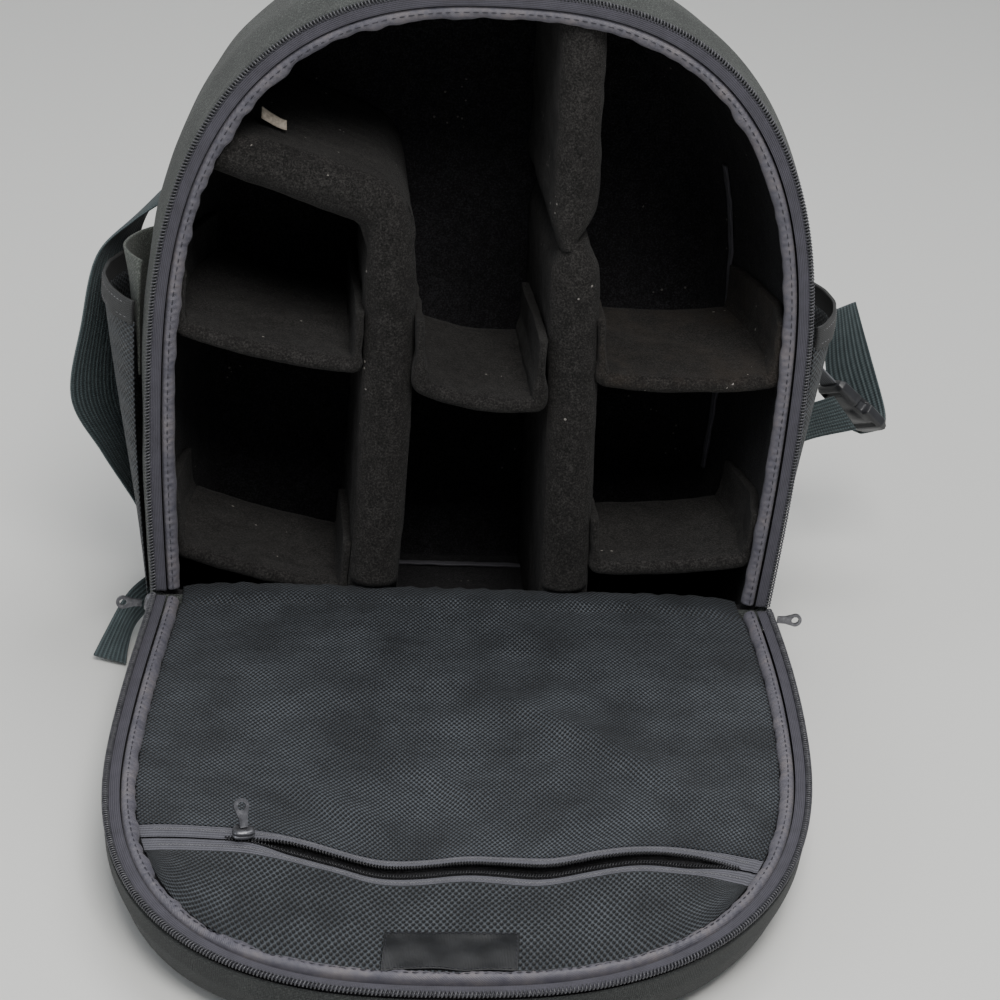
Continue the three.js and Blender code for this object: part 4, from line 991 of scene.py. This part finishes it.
def left_divider_thickness(share, y):
    """Full along the post, thinner towards the wall end of the arm and a little pinched at the bend."""
    pinch = 0.12 * np.exp(-((share - 0.66) / 0.03) ** 2)
    return divider_thick * (1 - pinch - 0.18 * np.clip((share - 0.8) / 0.2, 0, 1))


def right_upper_line(y):
    """Upper piece of the right divider, from its foot beside the joint up to the roof."""
    roof = arch_height(divider_right_x(arch_top) + 4, room_side(y)) - 1.5
    z = np.linspace(joint_height + gap - 6, roof, 90)
    return np.stack([divider_right_x(z) - 3 * np.exp(-((z - joint_height) / 14) ** 2), z], 1)


def right_lower_line(y):
    """Lower piece of the right divider, slightly waved."""
    z = np.linspace(foot_height(y), joint_height - 1.5, 120)
    return np.stack([divider_right_x(z) + 1.5 * np.sin((z - 60) / 60), z], 1)


def right_upper_thickness(share, y):
    """Thinned at its foot, where it meets the lower piece."""
    return 22.0 * (1 - 0.55 * np.exp(-(share / 0.10) ** 2))


def right_lower_thickness(share, y):
    """Thinned at its top."""
    return 24.6 * (1 - 0.5 * np.exp(-((1 - share) / 0.05) ** 2))


depths, swells = rounded_depths(-70.5, room_back - 0.7, 10.0)
for board, line_at, thickness, node_name, seed in (
    ("left_divider", left_divider_line, left_divider_thickness, "divider_left", 50),
    ("right_divider_upper", right_upper_line, right_upper_thickness, "divider_right_upper", 60),
    ("right_divider_lower", right_lower_line, right_lower_thickness, "divider_right_lower", 70),
):
    foam_board(board, depths, swells, line_at, thickness, board_felt, node_name, seed)

# Shelves: thinner felt boards between the dividers and the walls. Each end is a felt flap turned up
# and held by its hook tape; the boards sag a little.
divider_face = divider_thick / 2 + gap


def wall_at(z, y, side):
    """Face of the room's wall on one side, a little inside the foam."""
    return side * (half_width(z, room_side(y)) - 0.9)


shelf_ends = {
    "wall_left": lambda z, y: wall_at(z, y, -1),
    "wall_right": lambda z, y: wall_at(z, y, 1),
    "left_outer": lambda z, y: divider_left_x - divider_face + post_bow(z),
    "left_inner": lambda z, y: divider_left_x + divider_face + post_bow(z),
    "right_inner": lambda z, y: divider_right_x(z) - divider_face,
    "right_outer": lambda z, y: divider_right_x(z) + divider_face,
}
shelf_table = (
    ("left_upper", "wall_left", "left_outer", 0.515, 0.468, 0.93, board_felt, 3.0, 1.0),
    ("left_lower", "wall_left", "left_outer", 0.172, 0.115, 0.68, board_felt, 2.0, 1.0),
    ("centre", "left_inner", "right_inner", 0.448, 0.425, 0.78, board_felt, 4.5, 1.25),
    ("right_upper", "right_outer", "wall_right", 0.462, 0.468, 0.82, dusty_felt, 3.0, 1.15),
    ("right_lower", "right_outer", "wall_right", 0.172, 0.19, 0.62, board_felt, 2.0, 1.0),
)
board_start, board_end, flap_high = -66.0, room_back - 0.7, 27.0


def shelf_section(y, front, ends, heights, droop, lift):
    """Line of a shelf at one depth: a floor that sags by a half sine between the faces it is fixed
    to, and at each end a flap that is turned up and gets lower towards the back."""
    tall = flap_high * lift - 5 * np.clip((y - front - 30) / 60, 0, 1)
    share, ups = np.linspace(0, 1, 60), np.linspace(1, 0, 16)[:-1]
    left, right = (arch_top * height for height in heights)
    face_left, face_right = (shelf_ends[end] for end in ends)
    z = left + (right - left) * share
    a, b = face_left(z, y) + 2.6, face_right(z, y) - 2.6
    board = np.stack([a + (b - a) * share, z - droop * np.sin(np.pi * share) ** 0.8], 1)
    one = np.stack([face_left(left + tall * ups, y) + 2.6 - 1.2 * ups, left + tall * ups], 1)
    two = np.stack([face_right(right + tall * ups, y) - 2.6 + 1.2 * ups, right + tall * ups], 1)[::-1]
    return smoothed(evenly(np.concatenate([one, board, two]), 130), 2)


def shelf_thickness(share, y):
    """Full over the floor of the shelf, half as thick in its flaps."""
    return 8.0 - 3.9 * np.clip((np.abs(share - 0.5) - 0.3) / 0.06, 0, 1)


for number, (shelf, start_at, end_at, start, end, deep, felt, droop, lift) in enumerate(shelf_table):
    behind_kerb = arch_top * min(start, end) - 8 < over_kerb
    front = kerb_back - 0.3 if behind_kerb else -69.0 - 4.0 * (shelf == "centre")
    depths, swells = rounded_depths(front, board_start + (board_end - board_start) * deep, 3.6, 26)
    foam_board(
        f"shelf_board_{shelf}", depths, swells,
        lambda y: shelf_section(y, front, (start_at, end_at), (start, end), droop, lift),
        shelf_thickness, felt, f"shelf_{shelf}", 100 + 20 * number, 0.35)

# Small trims of the room: the pale linen care tag on the left arm, and the satin tape that binds the
# lining's seams up the right back corner and along the floor's back edge.
linen = mottled("linen_tag", (0.62, 0.53, 0.42), 0.9, 700, (0.45, 0.38, 0.30), (0.72, 0.64, 0.54))
wear(linen, None, stripes(linen, place(linen, (1800, 1800, 1), "UV"), "X"), 0.0003, 0.6)
low, high = corners_of("lining_tag")
across, rise = np.meshgrid(np.linspace(0, 1, 24), np.linspace(0, 1, 14))
tag = np.stack([low[0] + (high[0] - low[0]) * across - 3,
                low[1] - 2 + 5.0 * rise ** 2 + 1.6 * np.sin(across * 4),
                low[2] + 0.2 + (1 - across) ** 2 * 5.0 + 4.2 * rise * (1 - 0.3 * across)], -1)
cloth_sheet("care_tag", tag, 0.7, linen, "lining_tag")
seam_grey = ribbed_tape("seam_grey", (0.07, 0.068, 0.08), 1.4)
seam_y = room_front + (room_back - room_front) * 0.86
across, rise = np.meshgrid(np.linspace(0, 1, 10), np.linspace(0.21, 0.69, 150))
seam_z = arch_top * rise
seam_depth = seam_y - 3.5 * (1 - across)
binding = np.stack([half_width(seam_z, room_side(seam_depth)) - 1.4 - 0.3 * np.sin(np.pi * across)
                    + 0.3 * ripple(seam_z, across * 4, 77, 12.0), seam_depth, seam_z], -1)
surface("corner_seam_tape", slab(binding, 1.0), seam_grey, "corner_binding_right")
low, high = corners_of("floor_seam_binding")
across, along = np.meshgrid(np.linspace(low[1], high[1], 8), np.linspace(low[0], high[0], 90))
floor_seam = np.stack([along, across, (low[2] + high[2]) / 2 + 0.25 * ripple(along, across, 9, 10.0)], -1)
surface("floor_seam_tape", slab(floor_seam, 1.1), seam_grey, "floor_seam_binding")

# Side pockets: coarse diamond net gathered into a bound rim, bulging from each side of the bag, and
# on the left a light cloth gusset that stands in the pocket's mouth.
pocket_bulge, pocket_top, pocket_low = 22.0, 178.0, 30.0
pocket_front, pocket_back, rim_width = -50.0, 45.0, 11.0


def outer_side(y):
    """Inset of the bag's own cloth from the opening's outline at a depth."""
    depth = (y - shell_front) / (shell_back - shell_front)
    return back_inset * np.interp(depth, depth_steps, draw_steps) - cloth_reach


def pocket_face(side, out, bulge, front, back, low, high, low_swell, high_swell):
    """Bulging cloth beside the bag: the bag's own side plus bulge times sin(pi u)^0.7, which grows
    from the base to the mouth."""
    def face(u, v):
        """Points of the cloth for u from front to back and v from low to high."""
        u, v = np.broadcast_arrays(u, v)
        y, z = front + (back - front) * u, low + (high - low) * v
        swell = bulge * np.sin(np.pi * (0.02 + 0.96 * u)) ** 0.7 * (low_swell + (high_swell - low_swell) * v)
        return np.stack([side * (half_width(z, outer_side(y)) + 0.7 + swell + out), y, z], -1)
    return face


net_cord = mottled("net_cord", (0.040, 0.044, 0.048), 0.6, 600, (0.022, 0.024, 0.026),
                   (0.085, 0.09, 0.095), Sheen_Weight=0.05)
rim_tape = ribbed_tape("rim_tape", (0.026, 0.027, 0.028), 1.0)
light_heather = heather_cloth("light_heather", (0.06, 0.068, 0.06), (0.19, 0.205, 0.185))


def diamond_net(face, cells_across, cells_up, samples=56):
    """Two families of cords that cross the pocket's face on its diagonals; each is a thin ribbon-like
    tube, clipped to the face by holding its ends at the border."""
    run = np.linspace(0, 1, samples)
    grids = []
    for way in (1, -1):
        starts = np.arange(-cells_up, cells_across) / cells_across
        u = starts[:, None] + run * (cells_up / cells_across)
        v = np.broadcast_to(run if way > 0 else 1 - run, u.shape)
        keep = (u >= 0) & (u <= 1)
        for row in np.flatnonzero(keep.sum(1) > 3):
            path = evenly(face(u[row][keep[row]], v[row][keep[row]]), 30)
            guide = np.cross(np.gradient(path, axis=0), [0, 0, 1.0]) + 1e-6
            grids.append(tube(path, guide, 0.42, 4))
    return np.array(grids)


for where, side in (("left", -1), ("right", 1)):
    face = pocket_face(side, 0.6, pocket_bulge, pocket_front, pocket_back, pocket_low, pocket_top, 0.0, 1.0)
    v, u = np.meshgrid(np.linspace(0, 1, 40), np.linspace(0, 1, 80))
    surface(f"pocket_ground_{where}", slab(face(u, v), 0.5), coarse_net, None)
    surface(f"pocket_mesh_{where}", diamond_net(face, 30, 40), net_cord, f"side_pocket_{where}_net")
    rim = pocket_face(side, 1.2, pocket_bulge, pocket_front, pocket_back, pocket_top - 1,
                      pocket_top + rim_width, 1.0, 1.0)
    v, u = np.meshgrid(np.linspace(0, 1, 14), np.linspace(0, 1, 90))
    band = rim(u, v)
    uneven = ripple(u * (pocket_back - pocket_front), v * rim_width, 13, 16.0)
    band[..., 0] += side * (0.5 * np.sin(np.pi * v) + 0.3 * uneven)
    surface(f"pocket_rim_{where}", slab(band, 1.6), rim_tape, f"side_pocket_{where}_band")
    for level in (0.22, 0.8):
        line = rim(np.linspace(0.02, 0.98, 120), level)
        line[:, 0] += side * 1.15
        stitched(f"pocket_rim_seam_{where}_{int(level * 10)}", line, line * 0 + [side, 0, 0.0], 3.4, 2.2,
                 grey_thread, 0.4)
gusset_reach = 30.0
gusset = pocket_face(-1, 0.6, pocket_bulge * 0.55, -44.0, 6.0, pocket_top - gusset_reach,
                     pocket_top + gusset_reach, 0.0, 1.0)
v, u = np.meshgrid(np.linspace(0, 1, 50), np.linspace(0, 1, 50))
gusset_cloth = gusset(u, v)
gusset_cloth[..., 0] -= 0.6 * ripple(u * 50, v * 60, 19, 24.0) * np.sin(np.pi * u)
cloth_sheet("pocket_gusset", gusset_cloth, 1.1, light_heather, "side_pocket_left_gusset")

# Belt and tab webbing: slate polyester woven with raised cords along it. The left belt end is a slack
# loop down the bag's side; the tab lies doubled on the floor.
slate = paint("slate_webbing", (0.035, 0.052, 0.056), 0.7, Sheen_Weight=0.06)
slate_ribs = stripes(slate, place(slate, (1000 / 2.4, 1000 / 2.4, 1), "UV"), "X")
slate_picks = stripes(slate, place(slate, (1000 / 1.3, 1000 / 1.3, 1), "UV"), "Y")
slate_dye = noise(slate, place(slate, source="UV"), 180, 3, 0.6)
slate_tones = ramp(slate, weighted(slate, (slate_ribs, 0.5), (slate_picks, 0.2), (slate_dye, 0.4)), [
    (0.2, (0.013, 0.020, 0.023)), (0.55, (0.032, 0.048, 0.052)), (0.9, (0.075, 0.10, 0.106))])
wear(slate, slate_tones, weighted(slate, (slate_ribs, 1), (slate_picks, 0.5)), 0.0005, 0.8)
web_thick = 1.8
web_seat = web_thick / 2 + gap


def curve_through(points, count):
    """Centripetal Catmull-Rom curve through points, evenly shared by its parameter: neighbours are
    mixed three times in turn, each time in proportion to the knots on both sides."""
    p = np.asarray(points, float)
    p = np.concatenate([2 * p[:1] - p[1:2], p, 2 * p[-1:] - p[-2:-1]])
    chords = np.maximum(np.linalg.norm(np.diff(p, axis=0), axis=1), 1e-4)
    knots = np.concatenate([[0], np.cumsum(chords ** 0.5)])
    span = np.linspace(0, len(p) - 3, count)
    k = np.clip(span.astype(int), 0, len(p) - 4)
    at = [knots[k + j][:, None] for j in range(4)]
    t = at[1] + (at[2] - at[1]) * (span - k)[:, None]
    values = [p[k + j] for j in range(4)]
    for spans in (((0, 1), (1, 2), (2, 3)), ((0, 2), (1, 3)), ((1, 2),)):
        values = [(values[n] * (at[b] - t) + values[n + 1] * (t - at[a])) / (at[b] - at[a])
                  for n, (a, b) in enumerate(spans)]
    return values[0]


def ruled(front, rear, count, across):
    """Grid of straight lines from one edge to the other, each edge a curve through its points."""
    one, two = curve_through(front, count), curve_through(rear, count)
    v = np.linspace(0, 1, across)[None, :, None]
    return one[:, None] * (1 - v) + two[:, None] * v


def strap(name, grid, thickness, finish, node_name, ribs=0):
    """Webbing: a slab whose thickness swells over each woven cord, thinner at both selvedges."""
    v = np.linspace(0, 1, grid.shape[1])
    profile = 0.86 + 0.14 * np.abs(np.sin(np.pi * ribs * v)) if ribs else np.ones_like(v)
    profile = profile * (1 - 0.35 * np.abs(2 * v - 1) ** 12)
    wall = np.broadcast_to(thickness * profile, grid.shape[:2])
    return surface(name, slab(grid, wall), finish, node_name)


def side_edge(side, rows):
    """Edge of webbing given as (out from the bag's side, y, height in shares of the arch top)."""
    out, y, share = np.array(rows, float).T
    z = arch_top * share
    return np.stack([side * (half_width(z, outer_side(np.minimum(y, shell_back))) + out), y, z], 1)


loop_front = side_edge(-1, [(web_seat + 0.8, 12, 0.617), (15, 9, 0.588), (29, 5, 0.545), (36, 2, 0.437),
                            (41, 0, 0.325), (28, 6, 0.235), (14, 14, 0.144), (8, 16, 0.1),
                            (web_seat + 1.2, 18, 0.062)])
loop_rear = side_edge(-1, [(web_seat + 0.8, 46, 0.622), (10, 47, 0.6), (17, 43, 0.55), (17, 36, 0.437),
                           (17, 33, 0.315), (14, 38, 0.225), (10, 46, 0.14), (6, 49, 0.1),
                           (web_seat + 1.2, 52, 0.062)])
strap("belt_loop_left", ruled(loop_front, loop_rear, 220, 150), web_thick, slate, "belt_webbing_left",
      24)
tab_front = side_edge(-1, [(web_seat, -12, 0.072), (13, -32, 0.062), (24, -52, 0.026), (31, -66, 0.009)])
tab_rear = side_edge(-1, [(web_seat, -32, 0.04), (9, -47, 0.028), (13, -60, 0.014), (15, -72, 0.006)])
strap("tab_left", ruled(tab_front, tab_rear, 90, 80), web_thick, slate, "webbing_tab_left", 13)

# Right belt end: slate webbing up to the buckle, a narrow grey strap above it, the fastened buckle of
# dark moulded plastic, and the loose tail that curls over it.
buckle_centre = np.array([wide_half + 59, 57.0, 103.0])
slope, lean = np.radians([42, -35])
buckle_along = np.array([np.cos(slope), 0, -np.sin(slope)])
buckle_across = np.array(Matrix.Rotation(lean, 3, Vector(buckle_along)) @ Vector((0, 1, 0)))
buckle_face = np.cross(buckle_along, buckle_across)


def at_buckle(along, across, up):
    """Points in the buckle's own directions, from its centre."""
    return (buckle_centre + np.multiply.outer(along, buckle_along) + np.multiply.outer(across, buckle_across)
            + np.multiply.outer(up, buckle_face))


def beside(out, y, z):
    """Point out from the bag's right side."""
    return np.array([half_width(z, outer_side(y)) + out, y, z], float)


moulded = mottled("moulded_plastic", (0.02, 0.021, 0.024), 0.38, 90, (0.016, 0.0165, 0.019),
                  (0.028, 0.029, 0.033), Specular_IOR_Level=0.5)
wear(moulded, None, noise(moulded, place(moulded), 900, 3, 0.6), 0.00015, 0.5)
buckle_half_long, buckle_half_wide, buckle_half_thick = 19.0, 13.5, 4.5
t, w = np.meshgrid(np.linspace(-1, 1, 90), np.linspace(0, 2 * np.pi, 72, endpoint=False), indexing="ij")
stations = [-1, -0.86, -0.3, 0.1, 0.8, 1]
half_wide = buckle_half_wide * np.interp(t, stations, [0.72, 0.84, 0.86, 1, 0.96, 0.8])
half_thick = buckle_half_thick * np.interp(t, stations, [0.6, 0.9, 1, 1, 0.9, 0.5])
wide, thick = squared(w, 0.45)
side_window = 0.30 * np.exp(-((t + 0.02) / 0.16) ** 6) * (np.abs(wide) > 0.8)
slot_dip = 0.42 * np.exp(-((t + 0.72) / 0.07) ** 6) * (np.abs(wide) < 0.72)
bar_dip = 0.38 * np.exp(-((t - 0.62) / 0.08) ** 6) * (np.abs(wide) < 0.8)
centre_rib = 0.16 * np.exp(-((t - 0.18) / 0.25) ** 4) * (np.abs(wide) < 0.4)
buckle = at_buckle(t * buckle_half_long, half_wide * wide * (1 - side_window),
                   half_thick * thick * (1 - slot_dip - bar_dip - 0.12 + centre_rib))
surface("side_release_buckle", closed(buckle, (0.0, 0.7)), moulded, "buckle_right")
gloss_grey = ribbed_tape("gloss_grey_strap", (0.09, 0.093, 0.102), 1.6, 0.5)
strap("grey_strap_right", ruled(
    [beside(web_seat + 1, 47, 160), beside(15, 49, 156), beside(30, 51, 145), at_buckle(-19.35, -7, 0)],
    [beside(web_seat + 1, 58, 156), beside(20, 60, 151), beside(37, 61, 139), at_buckle(-19.35, 7, 0)],
    80, 30), web_thick, gloss_grey, "belt_strap_grey_right", 6)
under = -buckle_half_thick - web_seat
strap("belt_run_right", ruled(
    [beside(web_seat, 48, 84), beside(21, 48, 92), beside(40, 51, 103), at_buckle(-15, -5, under)],
    [beside(web_seat + 0.4, 56, 58), beside(28, 56, 67), beside(54, 60, 80), at_buckle(9, -2, under - 3)],
    90, 90), web_thick, slate, "belt_webbing_right", 15)
past = buckle_half_long + web_seat
strap("belt_tail_right", ruled(
    [at_buckle(past, 12, -2), at_buckle(17, 24, 2), (211, 86, 106), (204, 82, 147)],
    [at_buckle(past, -8, 1), at_buckle(21, 4, 15), (232, 81, 124), (221, 87, 153)],
    90, 90), web_thick, slate, "belt_webbing_tail_right", 15)

# Worn side: a channelled pad of air mesh, two padded shoulder straps with their adjusting webbing,
# and the haul handle, sewn to the bag at its top edge.
pad_half, pad_low, pad_high, pad_deep = 96.0, 40.0, 302.0, 10.0
# The hole colour is painted shade and the knot colour a painted highlight.
air_mesh = knitted_net("air_mesh", 2.6, (0.005, 0.0055, 0.006), (0.02, 0.021, 0.023), (0.045, 0.047, 0.05))
round_x, round_z = squared(np.linspace(0, 2 * np.pi, 220, endpoint=False), 0.5)
pad_middle, pad_tall, groove, groove_wide = (pad_low + pad_high) / 2, pad_high - pad_low, 30.0, 3.2
rows = []
pad_edge = ((0.0, 0.02), (0.6, 0.01), (0.93, 0.0), (0.975, 0.12), (1.0, 0.35), (1.0, 0.6), (0.985, 0.78),
            (0.96, 0.88))
for share, rise in (*pad_edge, *((size, 1.0) for size in np.linspace(0.93, 0.0, 46))):
    x = pad_half * share * round_x
    z = pad_middle + pad_tall / 2 * share * round_z
    upright = np.exp(-((np.abs(x) - groove) / groove_wide) ** 2)
    level = 0.9 * np.exp(-(((z - 60) % 62 - 31) / groove_wide) ** 2) * (np.abs(x) > groove + 3)
    channels = np.minimum(upright + level, 1) * (rise >= 0.9)
    crown = 0.86 + 0.14 * np.sqrt(np.maximum(1 - share ** 4, 0)) - 0.34 * channels
    rows.append(np.stack([x, shell_back + gap + pad_deep * rise * crown, z], 1))
back_pad = surface("back_pad_mesh", np.array(rows), air_mesh, "back_pad")
strap_line = np.array([(0.44, 0.95, 0), (0.5, 0.78, 0.5), (0.62, 0.55, 1), (0.76, 0.33, 0.7),
                       (0.84, 0.16, 0)])
padding_thick, padding_half, cap_half, adjuster_half = 11.0, 26.5, 27.5, 12.5
strap_seat = shell_back + 2 * gap + pad_deep + padding_thick / 2
(strap_top_x, _, _), (strap_end_x, strap_end_z, _) = strap_line[[0, -1]] * (pad_half, pad_tall, 1)
cap_line = ((91.0, 278), (91.6, 289), (86.0, 297), (74.5, 302.5), (70.6, 309), (69.4, 319))
for where, side in (("left", -1), ("right", 1)):
    edges = [np.stack([side * (pad_half * strap_line[:, 0] + offset), strap_seat + 10 * strap_line[:, 2],
                       pad_low + pad_tall * strap_line[:, 1]], 1)
             for offset in (-padding_half, padding_half)]
    grid = ruled(edges[0], edges[1], 140, 61)
    v = np.abs(np.linspace(-1, 1, 61))
    fullness = np.sqrt(np.maximum(1 - v ** 6, 0.0)) * (1 - 0.3 * np.exp(-((v - 0.82) / 0.05) ** 2))
    ends = np.sqrt(np.maximum(1 - np.abs(np.linspace(-1, 1, 140)) ** 20, 0.02))
    padding = surface(f"shoulder_pad_{where}", slab(grid, padding_thick * ends[:, None] * fullness), heather,
                      f"shoulder_strap_{where}")
    caps = [np.array([[side * strap_top_x + offset, y, z] for y, z in cap_line])
            for offset in (-cap_half, cap_half)]
    strap(f"strap_cap_{where}", ruled(caps[0], caps[1], 60, 50), 1.6, heather, None)
    end_z = pad_low + strap_end_z - gap - 0.5
    tails = [np.array([[side * (strap_end_x + offset), strap_seat, end_z],
                       [side * (strap_end_x + 14 + offset), strap_seat - 4, (end_z + pad_low) / 2],
                       [side * (pad_half + 16 + offset), shell_back + web_seat, pad_low - 10]])
             for offset in (-adjuster_half, adjuster_half)]
    strap(f"adjusting_webbing_{where}", ruled(tails[0], tails[1], 60, 50), web_thick, slate,
          f"strap_webbing_{where}", 10)
turn = np.linspace(0, np.pi, 9)
handle_half, handle_out, handle_rise, handle_wide = 44, 24, 40, 22
handle_edges = [
    np.stack([-(handle_half - inset) * np.cos(turn), shell_back + web_seat + handle_out * np.sin(turn),
              pad_high + 4 + (handle_rise - inset) * np.sin(turn)], 1) for inset in (0, handle_wide)]
strap("haul_webbing", ruled(handle_edges[0], handle_edges[1], 120, 50), web_thick, slate, "haul_handle",
      9)
